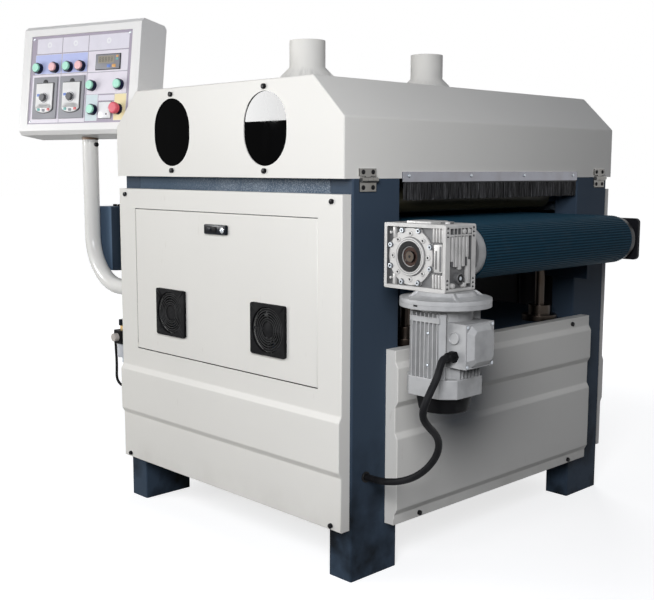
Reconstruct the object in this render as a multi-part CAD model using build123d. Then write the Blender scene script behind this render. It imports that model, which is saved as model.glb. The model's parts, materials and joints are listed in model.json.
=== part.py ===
from build123d import *
import math
import os

# Brush sanding machine for flat wooden work, in millimetres, +Z up.
# The work rides on the belt along +X. Every place below is measured from the middle of the
# four feet on the floor, and the finished pieces are moved together at the end so that the
# origin lies on the floor under the middle of the whole machine.

# Work passage: the belt, its rollers and the slides beside it
belt_width = 640
belt_thickness = 3
belt_gap = 0.3
roller_radius = 59.5
roller_overhang = 25
roller_wall = 6
roller_end = 12
roller_shaft = 12.5
roller_end_gap = 5
roller_reach = 149
side_plate_sheet = 10
side_plate_drop = 120
side_plate_overhang = 60
bed_sheet = 6
bed_roller_gap = 14
bed_tube_spacing = 500
bed_tube_radius = 25
cross_beam_width = 60
cross_beam_height = 24
cross_beam_gap = 6
bracket_sheet = 12
bracket_beyond_roller = 58
bracket_length = 190
bracket_height = 113
bracket_corner = 12
bearing_boss_radius = 36
bearing_boss_depth = 10
passage_height = 15.5

# Main frame
frame_length = 920
frame_top = 946
post_length = 74
post_width = 157
post_wall = 4
post_gap = 8
foot_plate = 8
rail_depth = 80
rail_height = 100
rail_wall = 5
deck_top = 537
deck_sheet = 8
deck_lip = 40
deck_hole_gap = 4

# Folded cladding panels
panel_skin = 2
bead_rise = 8
bead_slope = 14
front_panel_inset = 6.5
front_panel_bottom = 126
front_panel_drop = 35
front_panel_depth = 28
front_bead_rise = 131
front_bead_height = 146
end_panel_overlap = 42
end_panel_bottom = 119
end_panel_above_deck = 8
end_panel_depth = 30
end_bead_rise = 25
end_lower_bead_height = 202
end_bead_gap = 62
end_upper_bead_height = 109
belt_slot_width = 170

# Cabinet door with its two cooling fans and lever lock
door_width = 746
door_height = 396
door_top_margin = 56.5
door_gap = 2
door_return = 16
door_pivot_in = 5
door_pivot_rise = 8
door_pin = 2
door_lug = 6
door_lug_sheet = 4
fan_spacing = 406
fan_rise = 118.5
fan_guard_size = 128
fan_guard_corner = 6
fan_guard_depth = 8
fan_grille_depth = 4
fan_bore = 57
fan_ring_count = 4
fan_ring_width = 3.4
fan_spoke_width = 5
fan_spoke_turns = {"left": (45, 135), "right": (0, 90)}
fan_spoke_root = 1
fan_hub = 19
fan_frame_size = 119
fan_frame_depth = 24
fan_axle = 3
fan_rotor_hub = 14
fan_rotor_depth = 14
fan_blade_count = 7
fan_blade_pitch = 35
fan_blade_width = 20
fan_blade_sheet = 2
fan_tip_gap = 3
lock_length = 90
lock_height = 25
lock_thickness = 8
lock_corner = 4
lock_edge = 1.3
lock_drop = 41.5
lock_pivot_from_end = 13
lock_spindle = 5
lock_cam_length = 26
lock_cam_width = 12
lock_cam_sheet = 3

# Hood with its windows, dust ports, hinges and strip brushes
hood_inset = 1
hood_overhang = 29
hood_wall_height = 138
hood_slope_height = 96
hood_slope_length = 101
hood_skin = 2.5
window_width = 158
window_height = 178
window_spacing = 380
window_rise = 117
window_margin = 10
window_sheet = 5
port_spacing = 498
port_diameter = 98
port_wall = 2
port_cone_height = 61
port_spigot = 71
port_cone_radius = 108
port_rim = 10
hinge_inset = 44.5
hinge_width = 53
hinge_leaf_height = 20
hinge_leaf_sheet = 4
hinge_pin = 3.5
hinge_knuckle = 6
hinge_pin_drop = 3
hinge_pin_out = 6.5
hinge_side_gap = 0.4
strip_end_gap = 6.5
strip_height = 24
strip_sheet = 4
strip_below_hood = 8.5
bristle_length = 44
bristle_root = 3
bristle_root_width = 3.4
bristle_count = 224
bristle_width = 1.9
bristle_thickness = 2.2
bristle_margin = 4

# Sanding brushes and their drives
brush_spacing = 380
brush_rise = 62
brush_radius = 150
brush_core_radius = 88
brush_core_wall = 8
brush_overhang = 10
brush_strip_count = 24
brush_strip_width = 9
brush_shaft = 20
bearing_width = 50
bearing_length = 150
bearing_foot = 18
bearing_ring = 40
brush_pulley_radius = 55
motor_pulley_radius = 40
pulley_width = 16
pulley_flange = 3
drive_belt_thickness = 6
drive_belt_width = 12
pulley_gap = 4
brush_motor_radius = 85
brush_motor_length = 260
brush_motor_drop = 119
brush_motor_inset = 67
brush_motor_shaft = 12
brush_motor_foot = 120
brush_motor_bore = 60

# Table lift
lift_inset = 55
lift_side_gap = 60
lift_column_radius = 14
lift_column_below_deck = 147
lift_flange_radius = 50
lift_flange_height = 18
lift_hub_radius = 32
lift_hub_height = 27

# Cover over the belt tracking gear, at the infeed end
tracking_length = 100
tracking_beyond_roller = 138
tracking_depth = 93
tracking_drop = 128
tracking_height = 198
tracking_corner = 26
tracking_sheet = 3

# Hold-down rollers
hold_down_post_gap = 2
hold_down_drop = 54
hold_down_radius = 32
hold_down_overhang = 10
hold_down_wall = 8
hold_down_shaft = 8
hold_down_arm_width = 28
hold_down_arm_height = 32
hold_down_arm_gap = 0.4

# Worm gearbox on the drive roller
gear_standoff = 42
gear_ring_radius = 55
gear_depth = 102
gear_back_x = 72
gear_front_x = 102
gear_half_height = 72
gear_axis_offset = 63
gear_rim = 8
gear_pocket = 9
gear_corner = 4
gear_fin = 3
gear_fin_pitch = 8
gear_fin_rise = 4.5
gear_fin_from = 34
gear_side_post = 15
gear_side_pocket = 9
gear_side_fins = 5
gear_hole_radius = 3.5
gear_hole_pitch = 9
gear_holes = 3
gear_plug_radius = 9
gear_cap_radius = 15
gear_cap_rise = 4
gear_cover_radius = 62
gear_cover_plate = 4
gear_cover_ring = 41
gear_cover_ring_rise = 4
gear_cover_bolts = 8
gear_cover_bolt_circle = 61
gear_cover_lobe = 7
gear_cover_bolt_head = 5
gear_taps = 8
gear_tap_radius = 2.5
gear_tap_circle = 37.5
gear_tap_depth = 4
gear_sleeve = 21
gear_seal_seat = 34
gear_seal_depth = 3
gear_sleeve_recess = 5
shaft_key = 7
shaft_key_turn = 50

# Gear motor hanging under the gearbox
flange_radius = 100
flange_rim = 9.5
flange_slot = 9
flange_slot_depth = 3
adapter_top_radius = 62
adapter_step_radius = 70
adapter_step = 5
adapter_height = 23
adapter_shoulder = 8
adapter_web = 6
adapter_web_reach = 88
adapter_webs = 4
adapter_web_turn = 55
motor_neck_radius = 61
motor_neck = 10
motor_core_radius = 60
motor_body_length = 140
motor_fin_reach = 70
motor_fin = 2.5
motor_fin_pitch = 11.5
motor_fins_each_side = 3
motor_band_width = 82
motor_band = 12
motor_band_drop = 8
motor_lug = 15
motor_lug_reach = 77
motor_lug_turn = 55
fan_cover_width = 141
fan_cover_height = 42
fan_cover_chamfer = 28
cowl_top_radius = 62
cowl_bottom_radius = 55
cowl_height = 38
cowl_edge = 4
box_width = 96
box_height = 96
box_reach = 92
box_below_top = 18
lid_depth = 15
lid_flange = 3
lid_inset = 4
lid_corner = 14
lid_chamfer = 11
gland_inset = 27
gland_drop = 22.2
gland_hex = 13
gland_nut = 10
gland_cap_radius = 11
gland_cap = 16
gland_edge = 3
knockout_rise = 17
knockout_radius = 11
knockout_depth = 3

# Operator console on its bent tube
arm_reach = 260.5
arm_inset = 42
arm_radius = 24
arm_wall = 4
arm_bend = 150
arm_run_z = 612
arm_top = 1050
arm_flange_radius = 36
arm_flange = 8
console_turn = 16.6
console_tilt = 7.6
console_rise = 179.3
console_offset = 10.7
console_width = 466
console_height = 336
console_depth = 115
console_wall = 3
console_side_wall = 8
console_face_edge = 12
console_back_edge = 10
console_stub = 60
collar_radius = 24
collar_gap = 0.3
plate_side_margin = 32.5
plate_end_margin = 32.5
plate_sheet = 4
plate_recess = 3
button_radius = 13
button_stem_radius = 8
button_proud = 6
button_stem = 22
button_edge = 1.1
button_bezel_radius = 16
button_bezel = 13
button_floor = 3
button_travel = 4
estop_radius = 17
estop_cap = 14
estop_edge = 5
estop_collar = 7
estop_travel = 5
estop_spare = 2
keypad_width = 98
keypad_height = 128
keypad_rise = 5
knob_radius = 11
knob_height = 14
knob_stem_radius = 4
knob_grip = 1.5
knob_grips = 12
display_width = 95
display_height = 47
display_rise = 3
meter_size = 48

# Controls on the console plate: columns in from its nearer side, rows up from its middle
top_row = 36
lift_row = -25
bottom_row = -97
keypad_row = -56
display_row = 44
meter_row = -99
left_columns = {"brush_1_start": 36, "brush_1_stop": 103, "brush_2_start": 159, "brush_2_stop": 209}
lift_button_columns = {"table_up_button": 143, "table_down_button": 38}
feed_column = 135
estop_column = 38
keypad_columns = {"brush_1_speed": 70, "brush_2_speed": 179}
display_column = 87
meter_column = 89

# Air regulator on the front left post, and the fittings of its hose
regulator_reach = 68
regulator_inset = 22
regulator_z = 466
regulator_size = 44
regulator_corner = 7
regulator_height = 40
regulator_neck_radius = 9
regulator_neck = 14
regulator_cap_radius = 13
regulator_cap = 18
bowl_radius = 19
bowl_height = 42
drain_radius = 5
drain_height = 18
gauge_radius = 12
gauge_depth = 14
regulator_arm = 18
fitting_radius = 7
fitting_reach = 22
fitting_drop = 14
bulkhead_inset = 37
bulkhead_z = 374
bulkhead_length = 8

# Free cords, as points chosen by hand along each route
cord_arc_share = 0.45
cable_diameter = 16
cable_points = [
    (737, -539, 577), (737, -547, 577), (737, -555, 570.5), (737, -560, 559), (737, -567, 542),
    (736, -577, 526), (735, -587, 511), (733, -596, 495), (730, -602, 478), (727, -600, 462),
    (724, -590, 447), (718, -566, 428), (711, -537, 408),
    (702, -514, 382), (688, -504, 352), (664, -503, 319), (630, -506, 290), (588, -507, 270),
    (543, -501, 257), (500, -490, 248), (460, -490, 248),
]
hose_diameter = 8
hose_points = [
    (-572, -515, 452), (-572, -515, 426), (-567, -516, 393), (-566, -517, 360), (-568, -517, 332),
    (-556, -515, 316), (-537, -511, 310), (-518, -508, 316), (-506, -505, 332), (-505, -503, 352),
    (-497, -501, 366), (-483, -500, 374), (-468, -500, 374),
]

# Clearances shared by every running fit and every loose seat
running_fit = 0.06
free_gap = 0.3

# Places worked out from the sizes above, in the order in which they build on each other
roller_length = belt_width + 2 * roller_overhang
side_plate_y = roller_length / 2 + roller_end_gap
bracket_in = side_plate_y + side_plate_sheet
bracket_out = bracket_in + bracket_sheet
post_y_in = bracket_out + post_gap
post_y_out = post_y_in + post_width
post_x_out = frame_length / 2
post_x_in = post_x_out - post_length
rail_in = post_y_out - rail_depth
rail_middle = post_y_out - rail_depth / 2
brush_z = frame_top + brush_rise
brush_length = belt_width + 2 * brush_overhang
belt_in = roller_radius + belt_gap
belt_out = belt_in + belt_thickness
roller_x = post_x_out + roller_reach
roller_z = brush_z - brush_radius - passage_height - belt_out
side_plate_top = roller_z + belt_in - free_gap
side_plate_bottom = roller_z - side_plate_drop
cross_beam_bottom = roller_z - belt_out - cross_beam_gap - cross_beam_height
bracket_end = roller_x + bracket_beyond_roller
lift_x = post_x_out - lift_inset
lift_y = side_plate_y - lift_side_gap
hold_down_x = post_x_in - hold_down_post_gap - hold_down_arm_width / 2
hold_down_z = frame_top - hold_down_drop
hold_down_length = belt_width + 2 * hold_down_overhang
front_face = -post_y_out - front_panel_depth
front_panel_width = frame_length - 2 * front_panel_inset
front_panel_top = frame_top - front_panel_drop
end_panel_width = 2 * (post_y_in + end_panel_overlap)
end_panel_top = deck_top + end_panel_above_deck
door_top = front_panel_top - door_top_margin
door_bottom = door_top - door_height
door_pivot_y = front_face + door_pivot_in
door_pivot_z = door_bottom + door_pivot_rise
fan_z = door_bottom + fan_rise
lock_z = door_top - lock_drop
lock_pivot = lock_length / 2 - lock_pivot_from_end
hood_length = frame_length - 2 * hood_inset
hood_width = 2 * (post_y_out + hood_overhang)
hood_end = hood_width / 2
hood_bend = frame_top + hood_wall_height
hood_top = hood_bend + hood_slope_height
port_cone_top = hood_top + port_cone_height
window_z = frame_top + window_rise
hinge_y = post_y_out - hinge_inset
hinge_x = post_x_out + hinge_pin_out
hinge_z = frame_top - hinge_pin_drop
strip_length = 2 * (post_y_in - strip_end_gap)
pulley_y = post_y_out + pulley_gap
brush_motor_z = deck_top - deck_sheet - brush_motor_drop
brush_motor_rear = post_y_out - brush_motor_inset
gear_back = bracket_out + gear_standoff
gear_front = gear_back + gear_depth
motor_x = roller_x + gear_axis_offset
motor_y = -gear_front + gear_depth / 2
gear_floor = roller_z - gear_half_height
adapter_bottom = gear_floor - adapter_height
flange_bottom = adapter_bottom - flange_rim
motor_body_top = flange_bottom - motor_neck
motor_body_bottom = motor_body_top - motor_body_length
fan_cover_bottom = motor_body_bottom - fan_cover_height
box_face_x = motor_x + box_reach
box_front = motor_y - box_width / 2
box_top = motor_body_top - box_below_top
box_z = box_top - box_height / 2
gland_x = box_face_x - gland_inset
gland_z = box_z - gland_drop
arm_x = -post_x_out - arm_reach
arm_y = arm_inset - post_y_out
console_z = arm_top + console_rise
plate_width = console_width - 2 * plate_side_margin
plate_height = console_height - 2 * plate_end_margin
console_place = (
    Pos(arm_x, arm_y, console_z)
    * Rot(0, 0, console_turn)
    * Pos(console_offset, 0, 0)
    * Rot(-console_tilt, 0, 0)
)
console_face = -console_depth / 2
plate_face = console_face + plate_recess
plate_left = -plate_width / 2
plate_right = plate_width / 2
button_places = {name: (plate_left + inset, top_row) for name, inset in left_columns.items()}
for name, inset in lift_button_columns.items():
    button_places[name] = (plate_right - inset, lift_row)
button_places["feed_start"] = (plate_right - feed_column, bottom_row)
keypad_places = {name: (plate_left + inset, keypad_row) for name, inset in keypad_columns.items()}
estop_place = (plate_right - estop_column, bottom_row)
display_place = (plate_right - display_column, display_row)
meter_place = (plate_right - meter_column, meter_row)


def block(x, y, z):
    """Box between a pair of limits on each axis."""
    limits = [sorted(pair) for pair in (x, y, z)]
    sizes = [high - low for low, high in limits]
    middle = [(high + low) / 2 for low, high in limits]
    return Pos(*middle) * Box(*sizes)


def rod_x(radius, x, y=0, z=0):
    """Round bar along X."""
    return Pos((x[0] + x[1]) / 2, y, z) * Rot(0, 90, 0) * Cylinder(radius, abs(x[1] - x[0]))


def rod_y(radius, y, x=0, z=0):
    """Round bar along Y."""
    return Pos(x, (y[0] + y[1]) / 2, z) * Rot(90, 0, 0) * Cylinder(radius, abs(y[1] - y[0]))


def rod_z(radius, z, x=0, y=0):
    """Round bar along Z."""
    return Pos(x, y, (z[0] + z[1]) / 2) * Cylinder(radius, abs(z[1] - z[0]))


def prism_x(points, x):
    """Outline of (y, z) points drawn out along X."""
    outline = make_face(Polyline(*[(x[0], y, z) for y, z in points], close=True))
    return extrude(outline, amount=x[1] - x[0], dir=(1, 0, 0))


def prism_y(points, y):
    """Outline of (x, z) points drawn out along Y."""
    outline = make_face(Polyline(*[(x, y[0], z) for x, z in points], close=True))
    return extrude(outline, amount=y[1] - y[0], dir=(0, 1, 0))


def turned(points):
    """Solid of revolution about Z from an outline of (radius, z) points."""
    outline = make_face(Polyline(*[(r, 0, z) for r, z in points], close=True))
    return revolve(outline, Axis.Z)


def group(*pieces):
    """Separate solids that share one node."""
    return Compound([solid for piece in pieces for solid in piece.solids()])


def ring_y(outer, inner, y, x=0, z=0):
    """Plain ring along Y."""
    return rod_y(outer, y, x, z) - rod_y(inner, y, x, z)


# Frame


def frame_posts():
    """Four folded box columns that also form the feet."""
    posts = []
    for side_x in (-1, 1):
        for side_y in (-1, 1):
            x = (side_x * post_x_in, side_x * post_x_out)
            y = (side_y * post_y_in, side_y * post_y_out)
            inner_x = (side_x * (post_x_in + post_wall), side_x * (post_x_out - post_wall))
            inner_y = (side_y * (post_y_in + post_wall), side_y * (post_y_out - post_wall))
            hollow = block(inner_x, inner_y, (foot_plate, frame_top))
            posts.append(block(x, y, (0, frame_top)) - hollow)
    return group(*posts)


def side_rails():
    """Front and rear top tubes between the posts, which carry the brush bearings."""
    rails = []
    for side in (-1, 1):
        y = (side * rail_in, side * post_y_out)
        inner_y = (side * (rail_in + rail_wall), side * (post_y_out - rail_wall))
        z = (frame_top - rail_height, frame_top)
        inner_z = (z[0] + rail_wall, z[1] - rail_wall)
        x = (-post_x_in, post_x_in)
        rails.append(block(x, y, z) - block(x, inner_y, inner_z))
    return group(*rails)


def base_deck():
    """Machine deck, notched round the posts and folded down along its edges."""
    z = (deck_top - deck_sheet, deck_top)
    lip_z = (deck_top - deck_lip, deck_top)
    long_way = ((-post_x_in, post_x_in), (-post_y_out, post_y_out))
    wide_way = ((-post_x_out, post_x_out), (-post_y_in, post_y_in))
    deck = block(*long_way, z) + block(*wide_way, z)
    for side in (-1, 1):
        edge_y = (side * (post_y_out - deck_sheet), side * post_y_out)
        edge_x = (side * (post_x_out - deck_sheet), side * post_x_out)
        deck += block(long_way[0], edge_y, lip_z)
        deck += block(edge_x, wide_way[1], lip_z)
    hole = lift_column_radius + deck_hole_gap
    for x in (-lift_x, lift_x):
        for y in (-lift_y, lift_y):
            deck -= rod_z(hole, lip_z, x, y)
    return deck


def folded_panel(width, depth, bottom, top, beads):
    """Tray of folded sheet, open at the back, with raised beads. Drawn facing -Y."""
    face = [(depth, bottom)]
    for low, high in beads:
        face += [(depth, low), (depth + bead_rise, low + bead_slope)]
        face += [(depth + bead_rise, high - bead_slope), (depth, high)]
    face.append((depth, top))
    outer = [(0, bottom)] + [(-out, z) for out, z in face] + [(0, top)]
    inner_face = [(panel_skin - out, z) for out, z in face[1:-1]]
    first = (panel_skin - depth, bottom + panel_skin)
    last = (panel_skin - depth, top - panel_skin)
    inner = [(0, first[1]), first] + inner_face + [last, (0, last[1])]
    half = width / 2
    shell = prism_x(outer, (-half, half))
    return shell - prism_x(inner, (panel_skin - half, half - panel_skin))


def front_panel():
    """Front cladding with the door opening cut through its skin and lugs for the door's pins."""
    bead = front_panel_bottom + front_bead_rise
    beads = [(bead, bead + front_bead_height)]
    panel = folded_panel(
        front_panel_width, front_panel_depth, front_panel_bottom, front_panel_top, beads
    )
    opening_x = door_width / 2 + door_gap
    opening_z = (door_bottom - door_gap, door_top + door_gap)
    opening = block((-opening_x, opening_x), (-front_panel_depth, 0), opening_z)
    panel = Pos(0, -post_y_out, 0) * (panel - opening)
    lug_y = (front_face + panel_skin, door_pivot_y + door_lug)
    lug_z = (door_pivot_z - door_lug, door_pivot_z + door_lug)
    for side in (-1, 1):
        lug_x = (side * opening_x, side * (opening_x + door_lug_sheet))
        lug = block(lug_x, lug_y, lug_z) - rod_x(door_pin + running_fit, lug_x, door_pivot_y, door_pivot_z)
        panel += lug
    return panel


def rear_panel():
    """Rear cladding, slotted along its top where the brush belts pass."""
    bead = front_panel_bottom + front_bead_rise
    beads = [(bead, bead + front_bead_height)]
    panel = folded_panel(
        front_panel_width, front_panel_depth, front_panel_bottom, front_panel_top, beads
    )
    for x in (-brush_spacing / 2, brush_spacing / 2):
        slot_x = (x - belt_slot_width / 2, x + belt_slot_width / 2)
        slot_y = (panel_skin - front_panel_depth, 0)
        panel -= block(slot_x, slot_y, (front_panel_top - panel_skin, front_panel_top))
    return Pos(0, post_y_out, 0) * Rot(0, 0, 180) * panel


def end_panels():
    """Low cladding at the infeed and outfeed ends."""
    lower = end_panel_bottom + end_bead_rise
    upper = lower + end_lower_bead_height + end_bead_gap
    beads = [(lower, lower + end_lower_bead_height), (upper, upper + end_upper_bead_height)]
    panel = folded_panel(end_panel_width, end_panel_depth, end_panel_bottom, end_panel_top, beads)
    outfeed = Pos(post_x_out, 0, 0) * Rot(0, 0, 90) * panel
    infeed = Pos(-post_x_out, 0, 0) * Rot(0, 0, -90) * panel
    return group(outfeed, infeed)


# Cabinet door


def fan_places():
    """Middles of the two cooling fans as (x, z)."""
    return [(-fan_spacing / 2, fan_z), (fan_spacing / 2, fan_z)]


def cabinet_door():
    """Folded drop-down door with its pivot pins, bored for the fans and the lock spindle."""
    half = door_width / 2
    face_y = (front_face, front_face + panel_skin)
    door = block((-half, half), (front_face, front_face + door_return), (door_bottom, door_top))
    inner_x = (panel_skin - half, half - panel_skin)
    inner_z = (door_bottom + panel_skin, door_top - panel_skin)
    door -= block(inner_x, (face_y[1], front_face + door_return), inner_z)
    for side in (-1, 1):
        pin_x = (side * inner_x[1], side * (half + door_gap + door_lug_sheet))
        door += rod_x(door_pin, pin_x, door_pivot_y, door_pivot_z)
    for x, z in fan_places():
        door -= rod_y(fan_bore, face_y, x, z)
    return door - rod_y(lock_spindle + running_fit, face_y, lock_pivot, lock_z)


def fan_guard(spoke_turns):
    """Square guard of rings and spokes, drawn flat about the origin."""
    frame = RectangleRounded(fan_guard_size, fan_guard_size, fan_guard_corner) - Circle(fan_bore)
    pitch = (fan_bore - fan_hub) / (fan_ring_count + 1)
    grille = Circle(fan_hub)
    for index in range(1, fan_ring_count + 1):
        radius = fan_hub + index * pitch
        half = fan_ring_width / 2
        grille += Circle(radius + half) - Circle(radius - half)
    reach = fan_bore + fan_ring_width
    for turn in spoke_turns:
        grille += Rot(0, 0, turn) * Rectangle(2 * reach, fan_spoke_width)
    return extrude(frame, fan_guard_depth) + extrude(grille, fan_grille_depth)


def fan_frame():
    """Square fan housing behind the door, with a spider that holds the rotor's axle."""
    back = fan_frame_depth
    frame = extrude(Rectangle(fan_frame_size, fan_frame_size) - Circle(fan_bore), back)
    spider = Circle(fan_hub)
    for turn in fan_spoke_turns["right"]:
        spider += Rot(0, 0, turn) * Rectangle(2 * (fan_bore + fan_spoke_root), fan_spoke_width)
    frame += Pos(0, 0, back - fan_grille_depth) * extrude(spider, fan_grille_depth)
    axle_length = fan_rotor_depth + fan_grille_depth
    return frame + rod_z(fan_axle, (back - axle_length, back))


def fan_guards():
    """Guards outside the door and fan housings inside it."""
    inside = Rot(-90, 0, 0) * fan_frame()
    pieces = []
    for (x, z), spoke_turns in zip(fan_places(), fan_spoke_turns.values()):
        pieces.append(Pos(x, front_face, z) * Rot(90, 0, 0) * fan_guard(spoke_turns))
        pieces.append(Pos(x, front_face + panel_skin, z) * inside)
    return group(*pieces)


def fan_rotor(x, z):
    """Hub and twisted blades on the axle."""
    depth = fan_rotor_depth - free_gap
    hub = Cylinder(fan_rotor_hub, depth)
    root = fan_rotor_hub - fan_blade_sheet
    blade_length = fan_bore - fan_tip_gap - root
    for index in range(fan_blade_count):
        blade = Box(blade_length, fan_blade_width, fan_blade_sheet)
        blade = Pos(root + blade_length / 2, 0, 0) * Rot(fan_blade_pitch, 0, 0) * blade
        hub += Rot(0, 0, index * 360 / fan_blade_count) * blade
    hub -= Cylinder(fan_axle + running_fit, 2 * fan_rotor_depth)
    back = front_face + panel_skin + fan_frame_depth - fan_grille_depth
    return Pos(x, back - free_gap - depth / 2, z) * Rot(90, 0, 0) * hub


def door_lock():
    """Lever handle, its spindle through the door and the cam behind."""
    front = front_face - free_gap
    lever = block(
        (-lock_length / 2, lock_length / 2),
        (front - lock_thickness, front),
        (lock_z - lock_height / 2, lock_z + lock_height / 2),
    )
    lever = fillet(lever.edges().filter_by(Axis.Y), lock_corner)
    lever = chamfer(lever.faces().sort_by(Axis.Y)[0].edges(), lock_edge)
    cam_y = front_face + panel_skin + free_gap
    spindle = rod_y(lock_spindle, (front, cam_y + lock_cam_sheet), lock_pivot, lock_z)
    cam_x = (lock_pivot - lock_cam_width / 2, lock_pivot + lock_cam_width / 2)
    cam_z = (lock_z - lock_cam_width / 2, lock_z + lock_cam_length)
    return lever + spindle + block(cam_x, (cam_y, cam_y + lock_cam_sheet), cam_z)


# Hood


def hood_outline():
    """Half symmetric hood section as (x, z) points."""
    half = hood_length / 2
    top = half - hood_slope_length
    right = [(half, frame_top), (half, hood_bend), (top, hood_top)]
    return right + [(-x, z) for x, z in reversed(right)]


def port_places():
    """Middles of the dust ports along Y."""
    return (-port_spacing / 2, port_spacing / 2)


def window_places():
    """Middles of the round windows along X."""
    return (-window_spacing / 2, window_spacing / 2)


def window_outline(margin=0):
    """Upright window shape, standing in the XZ plane."""
    shape = SlotOverall(window_height + 2 * margin, window_width + 2 * margin, rotation=90)
    return Plane.XZ * shape


def hood_cover():
    """Folded hood, open below, with window holes in its front end and two port holes."""
    points = hood_outline()
    shell = prism_y(points, (-hood_end, hood_end))
    inside = make_face(Polyline(*[(x, 0, z) for x, z in points], close=True))
    inside = offset(inside, -hood_skin)
    reach = hood_end - hood_skin
    hollow = extrude(inside, amount=reach, dir=(0, 1, 0), both=True)
    wall = hood_length / 2 - hood_skin
    hollow += block((-wall, wall), (-reach, reach), (frame_top, frame_top + 2 * hood_skin))
    hood = shell - hollow
    for x in window_places():
        cutter = extrude(window_outline(), amount=2 * hood_skin, both=True)
        hood -= Pos(x, -hood_end, window_z) * cutter
    for y in port_places():
        hood -= rod_z(port_cone_radius - port_wall, (hood_top - 2 * hood_skin, hood_top), 0, y)
    return hood


def hood_windows():
    """Dark panes fixed behind the window holes."""
    pane = extrude(window_outline(window_margin), amount=window_sheet, dir=(0, 1, 0))
    front = hood_skin - hood_end
    return group(*[Pos(x, front, window_z) * pane for x in window_places()])


def dust_ports():
    """Two flared outlets for dust hoses, each with a rim on the hood."""
    radius = port_diameter / 2
    rim_top = hood_top + port_wall
    port = turned([
        (port_cone_radius + port_rim, hood_top),
        (port_cone_radius + port_rim, rim_top),
        (port_cone_radius, rim_top),
        (radius, port_cone_top),
        (radius, port_cone_top + port_spigot),
        (radius - port_wall, port_cone_top + port_spigot),
        (radius - port_wall, port_cone_top),
        (port_cone_radius - port_wall, hood_top),
    ])
    return group(*[Pos(0, y, 0) * port for y in port_places()])


def hinge_places():
    """Middles of the two hood hinges along Y."""
    return (-hinge_y, hinge_y)


def hinge_frame_leaves():
    """Leaves on the posts, with outer knuckles and the pin."""
    third = hinge_width / 6
    pieces = []
    for y in hinge_places():
        ends = (y - hinge_width / 2, y + hinge_width / 2)
        leaf_x = (post_x_out, post_x_out + hinge_leaf_sheet)
        leaf_top = hinge_z - hinge_knuckle - free_gap
        leaf_z = (leaf_top - hinge_leaf_height, leaf_top)
        piece = block(leaf_x, ends, leaf_z)
        for near, far in ((ends[0], y - third), (y + third, ends[1])):
            knuckle = rod_y(hinge_knuckle, (near, far), hinge_x, hinge_z)
            piece += knuckle + block(leaf_x, (near, far), (leaf_z[1], hinge_z))
        piece += rod_y(hinge_pin, ends, hinge_x, hinge_z)
        pieces.append(piece)
    return group(*pieces)


def hinge_hood_leaves():
    """Leaves on the hood, each with the middle knuckle."""
    third = hinge_width / 6 - hinge_side_gap
    leaf_x = (hood_length / 2, post_x_out + hinge_leaf_sheet)
    free_x = (post_x_out + free_gap, post_x_out + hinge_leaf_sheet)
    pieces = []
    for y in hinge_places():
        ends = (y - hinge_width / 2, y + hinge_width / 2)
        foot = frame_top + hinge_knuckle
        piece = block(leaf_x, ends, (foot, foot + hinge_leaf_height - hinge_pin_drop))
        piece += block(free_x, (y - third, y + third), (hinge_z, foot))
        piece += rod_y(hinge_knuckle, (y - third, y + third), hinge_x, hinge_z)
        piece -= rod_y(hinge_pin + running_fit, (y - third, y + third), hinge_x, hinge_z)
        pieces.append(piece)
    return group(*pieces)


def curtain_holders():
    """Aluminium strips along both long lower edges of the hood."""
    half = strip_length / 2
    bottom = frame_top - strip_below_hood
    pieces = []
    for side in (-1, 1):
        x = (side * hood_length / 2, side * (hood_length / 2 + strip_sheet))
        pieces.append(block(x, (-half, half), (bottom, bottom + strip_height)))
    return group(*pieces)


def curtain_bristles(side):
    """Row of bristles under a holder, all rooted in one thin bar."""
    x = side * (hood_length / 2 + strip_sheet / 2)
    top = frame_top - strip_below_hood
    root_bottom = top - bristle_root
    half = strip_length / 2 - bristle_margin
    root_x = (x - bristle_root_width / 2, x + bristle_root_width / 2)
    root = block(root_x, (-half, half), (root_bottom, top))
    pitch = 2 * half / bristle_count
    strand = Box(bristle_thickness, bristle_width, bristle_length - bristle_root / 2)
    middle = top - bristle_root / 2 - (bristle_length - bristle_root / 2) / 2
    strands = [
        Pos(x, (index + 0.5) * pitch - half, middle) * strand for index in range(bristle_count)
    ]
    return root + strands


# Sanding brushes


def brush_places():
    """Brush axes along X."""
    return (-brush_spacing / 2, brush_spacing / 2)


def brush_drum(x):
    """Hollow drum with radial brush strips, its shaft and its driven pulley."""
    half = brush_length / 2
    ends = (-half, half)
    drum = ring_y(brush_core_radius, brush_core_radius - brush_core_wall, ends)
    for side in (-1, 1):
        drum += rod_y(brush_core_radius, (side * half, side * (half - brush_core_wall)))
    strip_z = (brush_core_radius - brush_core_wall / 2, brush_radius)
    strip = block((-brush_strip_width / 2, brush_strip_width / 2), ends, strip_z)
    drum += [Rot(0, index * 360 / brush_strip_count, 0) * strip for index in range(brush_strip_count)]
    bearing_end = -rail_middle - bearing_width / 2
    drum += rod_y(brush_shaft, (bearing_end, pulley_y + pulley_width))
    drum += pulley(brush_pulley_radius)
    return Pos(x, 0, brush_z) * drum


def pulley(radius):
    """Flanged pulley at the drive plane, about the Y axis."""
    wheel = rod_y(radius, (pulley_y, pulley_y + pulley_width))
    groove_y = ((pulley_width - drive_belt_width) / 2 - free_gap) + pulley_y
    groove = (groove_y, pulley_y + pulley_width - (groove_y - pulley_y))
    return wheel - ring_y(radius + pulley_flange, radius - pulley_flange, groove)


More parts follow.
